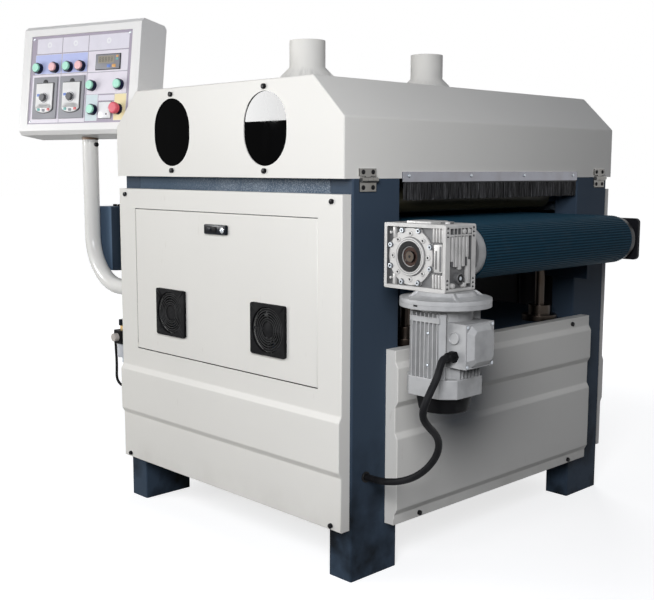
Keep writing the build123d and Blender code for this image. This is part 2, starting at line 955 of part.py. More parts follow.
def brush_bearings():
    """Four pillow blocks on the side rails."""
    pieces = []
    for x in brush_places():
        for side in (-1, 1):
            middle = side * rail_middle
            y = (middle - bearing_width / 2, middle + bearing_width / 2)
            half = bearing_length / 2
            piece = block((x - half, x + half), y, (frame_top, frame_top + bearing_foot))
            neck = (x - bearing_ring, x + bearing_ring)
            piece += block(neck, y, (frame_top, brush_z)) + rod_y(bearing_ring, y, x, brush_z)
            pieces.append(piece - rod_y(brush_shaft + running_fit, y, x, brush_z))
    return group(*pieces)


def drive_belt(x):
    """Open belt loop round the motor pulley and the brush pulley."""
    spare = free_gap - pulley_flange
    outlines = []
    for layer in (0, drive_belt_thickness):
        low = Pos(0, brush_motor_z) * Circle(motor_pulley_radius + spare + layer)
        high = Pos(0, brush_z) * Circle(brush_pulley_radius + spare + layer)
        outlines.append(make_hull(low.edges() + high.edges()))
    loop = Plane.XZ * (outlines[1] - outlines[0])
    start = pulley_y + (pulley_width - drive_belt_width) / 2
    return Pos(x, start, 0) * extrude(loop, amount=drive_belt_width, dir=(0, 1, 0))


def brush_drives():
    """Two brush motors under the deck and their belts."""
    pieces = []
    for x in brush_places():
        y = (brush_motor_rear - brush_motor_length, brush_motor_rear)
        motor = rod_y(brush_motor_radius, y, x, brush_motor_z)
        foot = brush_motor_foot / 2
        motor += block((x - foot, x + foot), y, (brush_motor_z, deck_top - deck_sheet))
        bore = (brush_motor_rear - brush_motor_bore, brush_motor_rear)
        motor -= rod_y(brush_motor_shaft + running_fit, bore, x, brush_motor_z)
        pieces += [motor, drive_belt(x)]
    return group(*pieces)


def motor_pulley(x):
    """Driving pulley with the motor shaft that carries it."""
    start = brush_motor_rear - brush_motor_bore + free_gap
    shaft = rod_y(brush_motor_shaft, (start, pulley_y + pulley_width))
    return Pos(x, 0, brush_motor_z) * (shaft + pulley(motor_pulley_radius))


# Hold-down rollers


def hold_down_roller(x):
    """Rubber covered roller with stub shafts."""
    half = hold_down_length / 2
    roller = ring_y(hold_down_radius, hold_down_radius - hold_down_wall, (-half, half))
    for side in (-1, 1):
        roller += rod_y(hold_down_radius, (side * half, side * (half - hold_down_wall)))
        stub = half + hold_down_arm_gap + hold_down_arm_width
        roller += rod_y(hold_down_shaft, (side * half, side * stub))
    return Pos(x, 0, hold_down_z) * roller


def hold_down_arms():
    """Arms from the side rails that carry the hold-down rollers."""
    start = hold_down_length / 2 + hold_down_arm_gap
    half = hold_down_arm_width / 2
    pieces = []
    for x in (-hold_down_x, hold_down_x):
        for side in (-1, 1):
            y = (side * start, side * rail_in)
            z = (hold_down_z - hold_down_arm_height / 2, hold_down_z + hold_down_arm_height / 2)
            arm = block((x - half, x + half), y, z)
            bore = (side * start, side * (start + hold_down_arm_width + free_gap))
            pieces.append(arm - rod_y(hold_down_shaft + running_fit, bore, x, hold_down_z))
    return group(*pieces)


# Feed conveyor


def belt_loop(radius):
    """Outline of a belt loop round both rollers, standing in the XZ plane."""
    slot = SlotCenterToCenter(2 * roller_x, 2 * radius)
    return Plane.XZ * slot


def conveyor_belt():
    """Endless feed belt."""
    half = belt_width / 2
    loop = belt_loop(belt_out) - belt_loop(belt_in)
    return Pos(0, 0, roller_z) * extrude(loop, amount=half, both=True)


def conveyor_bed():
    """Slider bed, side plates, ties and the beams that stand on the lift columns."""
    inner = side_plate_y
    reach = roller_x - roller_radius - bed_roller_gap
    bed = block((-reach, reach), (-inner, inner), (side_plate_top - bed_sheet, side_plate_top))
    half = post_x_out + side_plate_overhang
    for side in (-1, 1):
        y = (side * inner, side * bracket_in)
        bed += block((-half, half), y, (side_plate_bottom, side_plate_top))
        bed += rod_y(bed_tube_radius, (-inner, inner), side * bed_tube_spacing / 2, roller_z)
        beam = (side * lift_x - cross_beam_width / 2, side * lift_x + cross_beam_width / 2)
        beam_z = (cross_beam_bottom, cross_beam_bottom + cross_beam_height)
        bed += block(beam, (-inner, inner), beam_z)
    return bed


def roller_brackets():
    """Black end plates with bearing bosses; one also carries the gearbox."""
    z = (roller_z - bracket_height / 2, roller_z + bracket_height / 2)
    pieces = []
    for side_x in (-1, 1):
        for side_y in (-1, 1):
            x = (side_x * bracket_end, side_x * (bracket_end - bracket_length))
            y = (side_y * bracket_in, side_y * bracket_out)
            plate = block(x, y, z)
            plate = fillet(plate.edges().filter_by(Axis.Y), bracket_corner)
            boss_y = (side_y * bracket_in, side_y * (bracket_out + bearing_boss_depth))
            bore = roller_shaft + running_fit
            if side_x > 0 > side_y:
                plate += rod_y(gear_ring_radius, (-bracket_in, -gear_back), roller_x, roller_z)
                bore = gear_sleeve + running_fit
                boss_y = (-bracket_in, -gear_back)
            else:
                plate += rod_y(bearing_boss_radius, boss_y, side_x * roller_x, roller_z)
            pieces.append(plate - rod_y(bore, boss_y, side_x * roller_x, roller_z))
    return group(*pieces)


def roller_tube():
    """Hollow roller shell with closed ends, about the Y axis."""
    half = roller_length / 2
    tube = ring_y(roller_radius, roller_radius - roller_wall, (-half, half))
    for side in (-1, 1):
        tube += rod_y(roller_radius, (side * half, side * (half - roller_end)))
    return tube


def drive_roller():
    """Driven roller with its shaft and the hollow output shaft of the gearbox."""
    far = bracket_out + bearing_boss_depth
    front = gear_front - gear_sleeve_recess
    roller = roller_tube() + rod_y(roller_shaft, (-front - gear_seal_depth, far))
    roller += rod_y(gear_sleeve, (-front, -bracket_in))
    key_y = (-front - gear_seal_depth, -front + shaft_key)
    key = block((-shaft_key / 2, shaft_key / 2), key_y, (-roller_shaft - shaft_key / 2, 0))
    key -= rod_y(roller_shaft, key_y)
    return Pos(roller_x, 0, roller_z) * (roller + Rot(0, shaft_key_turn, 0) * key)


def idler_roller():
    """Free roller at the infeed end."""
    far = bracket_out + bearing_boss_depth
    return Pos(-roller_x, 0, roller_z) * (roller_tube() + rod_y(roller_shaft, (-far, far)))


def tracking_cover():
    """Folded cover over the belt tracking gear, open towards the machine."""
    far = -roller_x - tracking_beyond_roller
    x = (far, far + tracking_length)
    y = (-bracket_out - tracking_depth, -bracket_out)
    z = (roller_z - tracking_drop, roller_z - tracking_drop + tracking_height)
    cover = block(x, y, z)
    corner = cover.edges().filter_by(Axis.Z).group_by(Axis.Y)[0]
    cover = fillet(corner, tracking_corner)
    inner_x = (x[0] + tracking_sheet, x[1] - tracking_sheet)
    inner_z = (z[0] + tracking_sheet, z[1] - tracking_sheet)
    hollow = block(inner_x, (y[0] + tracking_sheet, y[1]), inner_z)
    inner_corner = hollow.edges().filter_by(Axis.Z).group_by(Axis.Y)[0]
    return cover - fillet(inner_corner, tracking_corner - tracking_sheet)


def lift_columns():
    """Ground columns under the conveyor."""
    z = (deck_top - lift_column_below_deck, cross_beam_bottom)
    places = [(x, y) for x in (-lift_x, lift_x) for y in (-lift_y, lift_y)]
    return group(*[rod_z(lift_column_radius, z, x, y) for x, y in places])


def lift_flanges():
    """Stepped guide bushes on the deck."""
    pieces = []
    step = deck_top + lift_flange_height
    for x in (-lift_x, lift_x):
        for y in (-lift_y, lift_y):
            bush = rod_z(lift_flange_radius, (deck_top, step), x, y)
            bush += rod_z(lift_hub_radius, (step, step + lift_hub_height), x, y)
            bore = (deck_top, step + lift_hub_height)
            pieces.append(bush - rod_z(lift_column_radius + running_fit, bore, x, y))
    return group(*pieces)


# Gear motor


def gearbox_housing():
    """Cast housing: a rimmed and finned front, posts and fins on the worm side."""
    height = (-gear_half_height, gear_half_height)
    body = block((-gear_back_x, gear_front_x), (-gear_front, -gear_back), height)
    body = fillet(body.edges().filter_by(Axis.Y), gear_corner)
    inside = gear_half_height - gear_rim
    floor = gear_pocket - gear_front
    pocket_x = (gear_rim - gear_back_x, gear_front_x - gear_rim)
    body -= block(pocket_x, (-gear_front, floor), (-inside, inside))
    fin_x = gear_cover_radius + gear_fin
    while fin_x + gear_fin < pocket_x[1]:
        for side in (-1, 1):
            fin_z = (side * gear_fin_from, side * inside)
            body += block((fin_x, fin_x + gear_fin), (floor - gear_fin_rise, floor), fin_z)
        fin_x += gear_fin_pitch
    side_y = (gear_side_post - gear_front, -gear_back - gear_side_post)
    side_x = (gear_front_x - gear_side_pocket, gear_front_x)
    body -= block(side_x, side_y, (-inside, inside))
    span = side_y[1] - side_y[0]
    for index in range(1, gear_side_fins + 1):
        fin_y = side_y[0] + index * span / (gear_side_fins + 1)
        fin_z = (-gear_fin_from / 2, inside)
        body += block(side_x, (fin_y - gear_fin / 2, fin_y + gear_fin / 2), fin_z)
    plug_y = (side_y[0] + side_y[1]) / 2
    body += rod_x(gear_plug_radius, side_x, plug_y, -gear_fin_from - gear_plug_radius)
    for post_y in (-gear_front + gear_side_post / 2, -gear_back - gear_side_post / 2):
        for side in (-1, 1):
            for step in range(gear_holes):
                hole_z = side * (inside - step * gear_hole_pitch)
                body -= rod_x(gear_hole_radius, side_x, post_y, hole_z)
    cap_z = (gear_half_height, gear_half_height + gear_cap_rise)
    body += rod_z(gear_cap_radius, cap_z, gear_axis_offset, (-gear_front - gear_back) / 2)
    body -= rod_y(gear_sleeve + running_fit, (-gear_front, -gear_back))
    return Pos(roller_x, 0, roller_z) * body


def gearbox_cover():
    """Round cover with bolt lobes, tapped holes and a seat for the shaft seal."""
    floor = gear_pocket - gear_front
    plate = floor - gear_cover_plate
    rise = plate - gear_cover_ring_rise
    cover = rod_y(gear_cover_radius, (plate, floor))
    cover += rod_y(gear_cover_ring, (rise, plate))
    for index in range(gear_cover_bolts):
        angle = math.radians((index + 0.5) * 360 / gear_cover_bolts)
        x = gear_cover_bolt_circle * math.cos(angle)
        z = gear_cover_bolt_circle * math.sin(angle)
        cover += rod_y(gear_cover_lobe, (plate, floor), x, z)
        cover += rod_y(gear_cover_bolt_head, (rise, plate), x, z)
    for index in range(gear_taps):
        angle = math.radians(index * 360 / gear_taps)
        x = gear_tap_circle * math.cos(angle)
        z = gear_tap_circle * math.sin(angle)
        cover -= rod_y(gear_tap_radius, (rise, rise + gear_tap_depth), x, z)
    cover -= rod_y(gear_seal_seat, (rise, rise + gear_seal_depth))
    cover -= rod_y(gear_sleeve + running_fit, (rise, floor))
    return Pos(roller_x, 0, roller_z) * cover


def motor_adapter():
    """Conical flange between the gearbox and the motor, with four webs."""
    rim_top = adapter_bottom + flange_rim
    cone = turned([
        (0, adapter_bottom),
        (flange_radius, adapter_bottom),
        (flange_radius, rim_top),
        (flange_radius - adapter_shoulder, rim_top),
        (adapter_step_radius, rim_top + adapter_step),
        (adapter_top_radius, gear_floor),
        (0, gear_floor),
    ])
    web = prism_y([
        (adapter_top_radius - adapter_shoulder, gear_floor),
        (adapter_top_radius + adapter_web, gear_floor),
        (adapter_web_reach, rim_top),
        (adapter_top_radius - adapter_shoulder, rim_top),
    ], (-adapter_web / 2, adapter_web / 2))
    for index in range(adapter_webs):
        cone += Rot(0, 0, adapter_web_turn + index * 360 / adapter_webs) * web
    return Pos(motor_x, motor_y, 0) * cone


def motor_housing():
    """Cast motor body: flat finned sides with a band round them, and four lugs."""
    body = rod_z(flange_radius, (flange_bottom, adapter_bottom))
    slot_x = (-flange_slot / 2, flange_slot / 2)
    slot_y = (-flange_radius, flange_slot_depth - flange_radius)
    body -= block(slot_x, slot_y, (adapter_bottom - flange_slot_depth, adapter_bottom))
    body += rod_z(motor_neck_radius, (motor_body_top, flange_bottom))
    length = (motor_body_bottom, motor_body_top)
    side = (-motor_fin_reach, motor_fin_reach)
    body += rod_z(motor_core_radius, length)
    for index in range(-motor_fins_each_side, motor_fins_each_side + 1):
        across = index * motor_fin_pitch
        limits = (across - motor_fin / 2, across + motor_fin / 2)
        body += block(limits, side, length)
        body += block((-motor_fin_reach, 0), limits, length)
        body += block((0, motor_fin_reach), limits, (motor_body_bottom, box_z))
    band_top = motor_body_top - motor_band_drop
    band = (-motor_band_width / 2, motor_band_width / 2)
    body += block(band, side, (band_top - motor_band, band_top))
    lug = block((0, motor_lug_reach), (-motor_lug / 2, motor_lug / 2), length)
    for turn in (motor_lug_turn, -motor_lug_turn):
        body += Rot(0, 0, turn) * lug + Rot(0, 0, turn + 180) * lug
    return Pos(motor_x, motor_y, 0) * body - terminal_space()


def terminal_space():
    """Block beside the motor core that the terminal box fills."""
    half = box_width / 2
    start = motor_x + math.sqrt(motor_core_radius ** 2 - half ** 2)
    y = (motor_y - half, motor_y + half)
    return block((start, box_face_x), y, (box_top - box_height, box_top))


def terminal_box():
    """Terminal box with a knockout plug above the gland, and its bevelled lid on a flat rim."""
    half = box_width / 2
    plug_y = (box_front - knockout_depth, box_front)
    base = terminal_space() + rod_y(knockout_radius, plug_y, gland_x, box_z + knockout_rise)
    rim_x = (box_face_x, box_face_x + lid_flange)
    lid = block(rim_x, (motor_y - half, motor_y + half), (box_top - box_height, box_top))
    dome_y = (motor_y - half + lid_inset, motor_y + half - lid_inset)
    dome_z = (box_top - box_height + lid_inset, box_top - lid_inset)
    dome = block((rim_x[1], box_face_x + lid_depth), dome_y, dome_z)
    dome = chamfer(dome.edges().filter_by(Axis.X), lid_corner)
    dome = chamfer(dome.faces().sort_by(Axis.X)[-1].edges(), lid_chamfer)
    return group(base, lid + dome)


def cable_gland():
    """Gland body and its dome nut, pointing to the front."""
    nut = extrude(Plane.XZ * RegularPolygon(gland_hex, 6), amount=gland_nut)
    dome_y = (box_front - gland_nut - gland_cap, box_front - gland_nut)
    dome = rod_y(gland_cap_radius, dome_y, gland_x, gland_z)
    dome = chamfer(dome.edges().sort_by(Axis.Y)[0], gland_edge)
    return Pos(gland_x, box_front, gland_z) * nut + dome


def fan_cover():
    """Square end shield with cut corners over the cooling fan."""
    shape = chamfer(Rectangle(fan_cover_width, fan_cover_width).vertices(), fan_cover_chamfer)
    return Pos(motor_x, motor_y, fan_cover_bottom) * extrude(shape, fan_cover_height)


def fan_cowl():
    """Black tapered cowl below the end shield."""
    bottom = fan_cover_bottom - cowl_height
    cowl = turned([
        (0, bottom),
        (cowl_bottom_radius - cowl_edge, bottom),
        (cowl_bottom_radius, bottom + cowl_edge),
        (cowl_top_radius, fan_cover_bottom),
        (0, fan_cover_bottom),
    ])
    return Pos(motor_x, motor_y, 0) * cowl


# Operator console


def console_arm():
    """Bent tube from the front left post up to the console."""
    start = (-post_x_out, arm_y, arm_run_z)
    corner = (arm_x, arm_y, arm_run_z)
    path = FilletPolyline(start, corner, (arm_x, arm_y, arm_top), radius=arm_bend)
    section = Plane(origin=start, z_dir=(-1, 0, 0))
    flange_x = (-post_x_out - arm_flange, -post_x_out)
    tube = sweep(section * Circle(arm_radius), path)
    tube += rod_x(arm_flange_radius, flange_x, arm_y, arm_run_z)
    return tube - sweep(section * Circle(arm_radius - arm_wall), path)


def console_box():
    """Console shell with a stepped front opening, on a stub that turns in the arm."""
    shell = Box(console_width, console_depth, console_height)
    shell = chamfer(shell.faces().sort_by(Axis.Y)[0].edges().filter_by(Axis.X), console_face_edge)
    shell = chamfer(shell.faces().sort_by(Axis.Y)[-1].edges().filter_by(Axis.X), console_back_edge)
    front_depth = plate_recess + plate_sheet
    hollow = Pos(0, (front_depth - console_wall) / 2, 0) * Box(
        console_width - 2 * console_side_wall,
        console_depth - console_wall - front_depth,
        console_height - 2 * console_side_wall,
    )
    back_edges = hollow.faces().sort_by(Axis.Y)[-1].edges().filter_by(Axis.X)
    hollow = chamfer(back_edges, console_back_edge - console_wall)
    mouth = Pos(0, console_face, 0) * Box(plate_width, 2 * front_depth, plate_height)
    stub_radius = arm_radius - arm_wall - running_fit
    stub = rod_z(stub_radius, (arm_top - console_stub, console_z), arm_x, arm_y)
    stub += rod_z(collar_radius, (arm_top + collar_gap, console_z), arm_x, arm_y)
    return console_place * (shell - hollow - mouth) + (stub - console_place * hollow)


def on_plate(across, up):
    """Place on the console plate, its local Z pointing out towards the operator."""
    return console_place * Pos(across, plate_face, up) * Rot(90, 0, 0)


def control_plate():
    """Face plate with raised keypads, display and meter, and bored bezels for the buttons."""
    plate = Pos(0, 0, -plate_sheet / 2) * Box(plate_width, plate_height, plate_sheet)
    for across, up in keypad_places.values():
        plate += Pos(across, up, keypad_rise / 2) * Box(keypad_width, keypad_height, keypad_rise)
    across, up = display_place
    plate += Pos(across, up, display_rise / 2) * Box(display_width, display_height, display_rise)
    across, up = meter_place
    plate += Pos(across, up, display_rise / 2) * Box(meter_size, meter_size, display_rise)
    depth = (-plate_sheet, button_bezel)
    for across, up in button_places.values():
        plate += rod_z(button_bezel_radius, (0, button_bezel), across, up)
        plate -= rod_z(button_radius + free_gap, (button_floor, button_bezel), across, up)
    plate += rod_z(button_bezel_radius, (0, estop_collar), *estop_place)
    for across, up in list(button_places.values()) + [estop_place]:
        plate -= rod_z(button_stem_radius + running_fit, depth, across, up)
    for across, up in keypad_places.values():
        plate -= rod_z(knob_stem_radius + running_fit, depth, across, up)
    return on_plate(0, 0) * plate


def push_button(across, up):
    """Round button head on its stem."""
    top = button_bezel + button_proud
    head = rod_z(button_radius, (button_floor + button_travel + free_gap, top))
    head = chamfer(head.edges().sort_by(Axis.Z)[-1], button_edge)
    stem = rod_z(button_stem_radius, (-button_stem, top - button_edge))
    return on_plate(across, up) * (head + stem)


def e_stop(across, up):
    """Mushroom head on its stem, clear of its collar by its travel."""
    foot = estop_collar + estop_travel + estop_spare
    crown = rod_z(estop_radius, (foot, foot + estop_cap))
    crown = fillet(crown.edges().sort_by(Axis.Z)[-1], estop_edge)
    stem = rod_z(button_stem_radius, (-button_stem, foot + estop_cap / 2))
    return on_plate(across, up) * (crown + stem)


def speed_knob(across, up):
    """Grooved knob on a keypad."""
    knob = rod_z(knob_radius, (keypad_rise + free_gap, keypad_rise + knob_height))
    for index in range(knob_grips):
        angle = math.radians(index * 360 / knob_grips)
        groove = rod_z(knob_grip, (keypad_rise, keypad_rise + knob_height))
        knob -= Pos(knob_radius * math.cos(angle), knob_radius * math.sin(angle), 0) * groove
    stem = rod_z(knob_stem_radius, (-button_stem, keypad_rise + knob_height / 2))
    return on_plate(across, up) * (knob + stem)


# Air supply and cords


def air_regulator():
    """Filter regulator on its post bracket, and the bulkhead fitting for its hose."""
    half = regulator_size / 2
    body_top = regulator_z + regulator_height / 2
    body_bottom = regulator_z - regulator_height / 2
    unit = Pos(0, 0, regulator_z) * Box(regulator_size, regulator_size, regulator_height)
    unit = fillet(unit.edges().filter_by(Axis.Z), regulator_corner)
    cap_bottom = body_top + regulator_neck
    unit += rod_z(regulator_neck_radius, (body_top, cap_bottom))
    unit += rod_z(regulator_cap_radius, (cap_bottom, cap_bottom + regulator_cap))
    bowl_bottom = body_bottom - bowl_height
    unit += rod_z(bowl_radius, (bowl_bottom, body_bottom))
    unit += rod_z(drain_radius, (bowl_bottom - drain_height, bowl_bottom))
    unit += rod_y(gauge_radius, (-half - gauge_depth, -half), 0, regulator_z)
    elbow_x = -half - fitting_reach
    unit += rod_x(fitting_radius, (elbow_x, -half), 0, regulator_z)
    unit += rod_z(fitting_radius, (regulator_z - fitting_drop, regulator_z), elbow_x, 0)
    arm = (-regulator_arm / 2, regulator_arm / 2)
    unit += block((half, regulator_reach), arm, (regulator_z + arm[0], regulator_z + arm[1]))
    bulkhead_x = (-post_x_out - bulkhead_length, -post_x_out)
    bulkhead = rod_x(fitting_radius, bulkhead_x, bulkhead_inset - post_y_out, bulkhead_z)
    place = Pos(-post_x_out - regulator_reach, regulator_inset - post_y_out, 0)
    return group(place * unit, bulkhead)


def cord(points, diameter):
    """Round cord along straight runs joined by arcs as wide as the runs allow."""
    spots = [Vector(*point) for point in points]
    runs = [after - before for before, after in zip(spots, spots[1:])]
    radii = []
    for before, after in zip(runs, runs[1:]):
        turn = math.radians(before.get_angle(after))
        radii.append(cord_arc_share * min(before.length, after.length) / math.tan(turn / 2))
    path = FilletPolyline(*points, radius=radii)
    section = Plane(origin=path @ 0, z_dir=path % 0) * Circle(diameter / 2)
    tube = sweep(section, path)
    expected = math.pi * diameter ** 2 / 4 * path.length
    print("cord length", round(path.length, 1), "radii", [round(radius) for radius in radii])
    print("cord volume over section times length", round(tube.volume / expected, 4))
    return tube


nodes = {
    "frame_posts": frame_posts(),
    "side_rails": side_rails(),
    "base_deck": base_deck(),
    "front_panel": front_panel(),
    "rear_panel": rear_panel(),
    "end_panels": end_panels(),
    "hinge_frame_leaves": hinge_frame_leaves(),
    "brush_bearings": brush_bearings(),
    "brush_drives": brush_drives(),
    "lift_flanges": lift_flanges(),
    "hold_down_arms": hold_down_arms(),
    "console_arm": console_arm(),
    "air_regulator": air_regulator(),
    "air_hose": cord(hose_points, hose_diameter),
    "conveyor_bed": conveyor_bed(),
    "conveyor_belt": conveyor_belt(),
    "roller_brackets": roller_brackets(),
    "lift_columns": lift_columns(),
    "tracking_cover": tracking_cover(),
    "gearbox_housing": gearbox_housing(),
    "gearbox_cover": gearbox_cover(),
    "motor_adapter": motor_adapter(),
    "motor_housing": motor_housing(),
    "terminal_box": terminal_box(),
    "fan_cover": fan_cover(),
    "fan_cowl": fan_cowl(),
    "cable_gland": cable_gland(),
    "motor_cable": cord(cable_points, cable_diameter),
    "drive_roller": drive_roller(),
    "idler_roller": idler_roller(),
    "hold_down_infeed": hold_down_roller(-hold_down_x),
    "hold_down_outfeed": hold_down_roller(hold_down_x),
    "brush_infeed": brush_drum(brush_places()[0]),
    "brush_outfeed": brush_drum(brush_places()[1]),
    "motor_pulley_infeed": motor_pulley(brush_places()[0]),
    "motor_pulley_outfeed": motor_pulley(brush_places()[1]),
    "hood_cover": hood_cover(),
    "dust_ports": dust_ports(),
    "hood_windows": hood_windows(),
    "curtain_holders": curtain_holders(),
    "curtain_bristles_infeed": curtain_bristles(-1),
    "curtain_bristles_outfeed": curtain_bristles(1),
    "hinge_hood_leaves": hinge_hood_leaves(),
    "cabinet_door": cabinet_door(),
    "fan_guards": fan_guards(),
    "fan_rotor_left": fan_rotor(*fan_places()[0]),
    "fan_rotor_right": fan_rotor(*fan_places()[1]),
    "door_lock": door_lock(),
    "console_box": console_box(),
    "control_plate": control_plate(),
    "e_stop": e_stop(*estop_place),
}
for name, place in button_places.items():
    nodes[name] = push_button(*place)
for name, place in keypad_places.items():
    nodes[name] = speed_knob(*place)

# The cords are left out of the box that sets the origin, because they may lie anywhere
cords = ("air_hose", "motor_cable")
boxes = [shape.bounding_box() for name, shape in nodes.items() if name not in cords]
middle_x = (min(box.min.X for box in boxes) + max(box.max.X for box in boxes)) / 2
middle_y = (min(box.min.Y for box in boxes) + max(box.max.Y for box in boxes)) / 2

os.makedirs("parts", exist_ok=True)
for name, shape in nodes.items():
    export_step(Pos(-middle_x, -middle_y, 0) * shape, f"parts/{name}.step")
print("nodes", len(nodes), "origin moved by", round(-middle_x, 2), round(-middle_y, 2))
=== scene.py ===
import json
import math
import random
from itertools import product

import bmesh
import bpy
from mathutils import Matrix, Vector


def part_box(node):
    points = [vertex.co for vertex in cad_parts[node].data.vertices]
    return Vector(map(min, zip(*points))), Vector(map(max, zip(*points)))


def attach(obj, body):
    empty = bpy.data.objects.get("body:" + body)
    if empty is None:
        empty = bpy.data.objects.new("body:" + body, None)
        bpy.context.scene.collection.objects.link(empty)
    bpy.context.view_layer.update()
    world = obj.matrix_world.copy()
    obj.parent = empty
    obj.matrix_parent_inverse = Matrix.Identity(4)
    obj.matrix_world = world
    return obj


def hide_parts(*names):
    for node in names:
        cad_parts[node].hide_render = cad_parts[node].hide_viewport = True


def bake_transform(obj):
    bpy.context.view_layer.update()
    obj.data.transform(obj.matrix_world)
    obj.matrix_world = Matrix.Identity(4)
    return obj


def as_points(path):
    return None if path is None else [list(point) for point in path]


# A brush sanding machine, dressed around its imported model, which is the fixed frame.
# Meshes are in metres. Shapes and places are written in millimetres, and a place is measured
# from the middle of the four feet.
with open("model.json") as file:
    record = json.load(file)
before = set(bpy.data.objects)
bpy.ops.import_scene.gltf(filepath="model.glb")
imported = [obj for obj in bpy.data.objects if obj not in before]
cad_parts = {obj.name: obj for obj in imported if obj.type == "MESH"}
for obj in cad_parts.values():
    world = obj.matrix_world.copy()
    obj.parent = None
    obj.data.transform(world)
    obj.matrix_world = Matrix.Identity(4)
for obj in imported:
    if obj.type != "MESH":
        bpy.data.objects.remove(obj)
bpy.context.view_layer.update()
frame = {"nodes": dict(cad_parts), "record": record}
nodes = frame["nodes"]
record = frame["record"]
body_of = {node: body for body, members in record["behaviour"]["bodies"].items()
           for node in members}
slot_of = {row["node"]: row["material_slot"] for row in record["subparts"]}
feet_low, feet_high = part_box("frame_posts")
home = Vector(((feet_low.x + feet_high.x) / 2, (feet_low.y + feet_high.y) / 2, 0))
chance = random.Random(7)
full_turn = 2 * math.pi
quarter_turn = math.pi / 2
mm = 0.001
per_metre = 1000
front, rear, right_side, upward = (0, -1, 0), (0, 1, 0), (1, 0, 0), (0, 0, 1)
both_sides = (-1, 1)


def spot(x, y, z):
    """Point in the frame from a place in millimetres."""
    return home + Vector((x, y, z)) * mm


def at(x, y, z):
    return Matrix.Translation(spot(x, y, z))


def shift(x, y, z):
    return Matrix.Translation((x * mm, y * mm, z * mm))


def about(axis, angle):
    return Matrix.Rotation(angle, 4, axis)


def pair(reach, middle=0):
    return (middle - reach, middle + reach)


def put(name, data):
    made = bpy.data.objects.new(name, data)
    bpy.context.scene.collection.objects.link(made)
    return made


# Camera and lamps

camera_place = (2039.5, -2146.9, 967.3)
camera_lens = 55.13
camera_down = 7.45
camera_roll = -0.159
camera_turn = 45.949
target = spot(100, -150, 700)


# Camera at the photograph's viewing angle
lens = bpy.data.cameras.new("camera")
lens.lens = camera_lens
camera = put("camera", lens)
camera.location = spot(*camera_place)
turns = (90 - camera_down, camera_roll, camera_turn)
camera.rotation_euler = [math.radians(turn) for turn in turns]
bpy.context.scene.camera = camera


def softbox(name, place, size, power, aim=target, hidden=()):
    """Area lamp, hidden from some rays."""
    lamp = bpy.data.lights.new(name, "AREA")
    lamp.shape = "RECTANGLE"
    lamp.size, lamp.size_y = size
    lamp.energy = power
    holder = put(name, lamp)
    holder.location = place
    holder.rotation_euler = (aim - place).to_track_quat("-Z", "Y").to_euler()
    for ray in hidden:
        setattr(holder, "visible_" + ray, False)
    return lamp


# Node trees

mix_share, mix_first, mix_second, mix_result = 0, 6, 7, 2
seen_rays = ("Is Camera Ray", "Is Glossy Ray", "Is Transmission Ray")


def binary(operation, swapped=False):
    """Operator between two values, which adds a node."""
    def apply(self, other):
        values = (other, self) if swapped else (self, other)
        return self.tree.node("ShaderNodeMath", dict(enumerate(values)), operation=operation)
    return apply


class Value:
    """A socket of a node tree that takes part in Python sums."""

    __add__, __radd__ = binary("ADD"), binary("ADD", swapped=True)
    __sub__, __rsub__ = binary("SUBTRACT"), binary("SUBTRACT", swapped=True)
    __mul__, __rmul__ = binary("MULTIPLY"), binary("MULTIPLY", swapped=True)
    __truediv__, __pow__ = binary("DIVIDE"), binary("POWER")
    most, least = binary("MAXIMUM"), binary("MINIMUM")

    def __init__(self, tree, socket):
        self.tree = tree
        self.socket = socket

    def limited(self):
        return self.most(0).least(1)


class Tree:
    """A node tree with its shader, and the nodes that feed it."""

    def __init__(self, holder, shader):
        holder.use_nodes = True
        self.tree = holder.node_tree
        self.shader = self.tree.nodes[shader]

    def plug(self, socket, value):
        if isinstance(value, Value):
            self.tree.links.new(value.socket, socket)
        elif socket.type == "RGBA":
            socket.default_value = (*value, 1)
        else:
            socket.default_value = value

    def set(self, name, value):
        self.plug(self.shader.inputs[name], value)

    def node(self, kind, inputs=None, output=0, **settings):
        made = self.tree.nodes.new(kind)
        for key, value in settings.items():
            setattr(made, key, value)
        for key, value in (inputs or {}).items():
            self.plug(made.inputs[key], value)
        return Value(self, made.outputs[output])

    def mix(self, share, first, second):
        inputs = {mix_share: share, mix_first: first, mix_second: second}
        return self.node("ShaderNodeMix", inputs, mix_result, data_type="RGBA")

    def seen(self):
        """One for rays that come from the eye, and else nought."""
        eye, mirror, glass = [self.node("ShaderNodeLightPath", output=ray) for ray in seen_rays]
        return eye.most(mirror).most(glass)


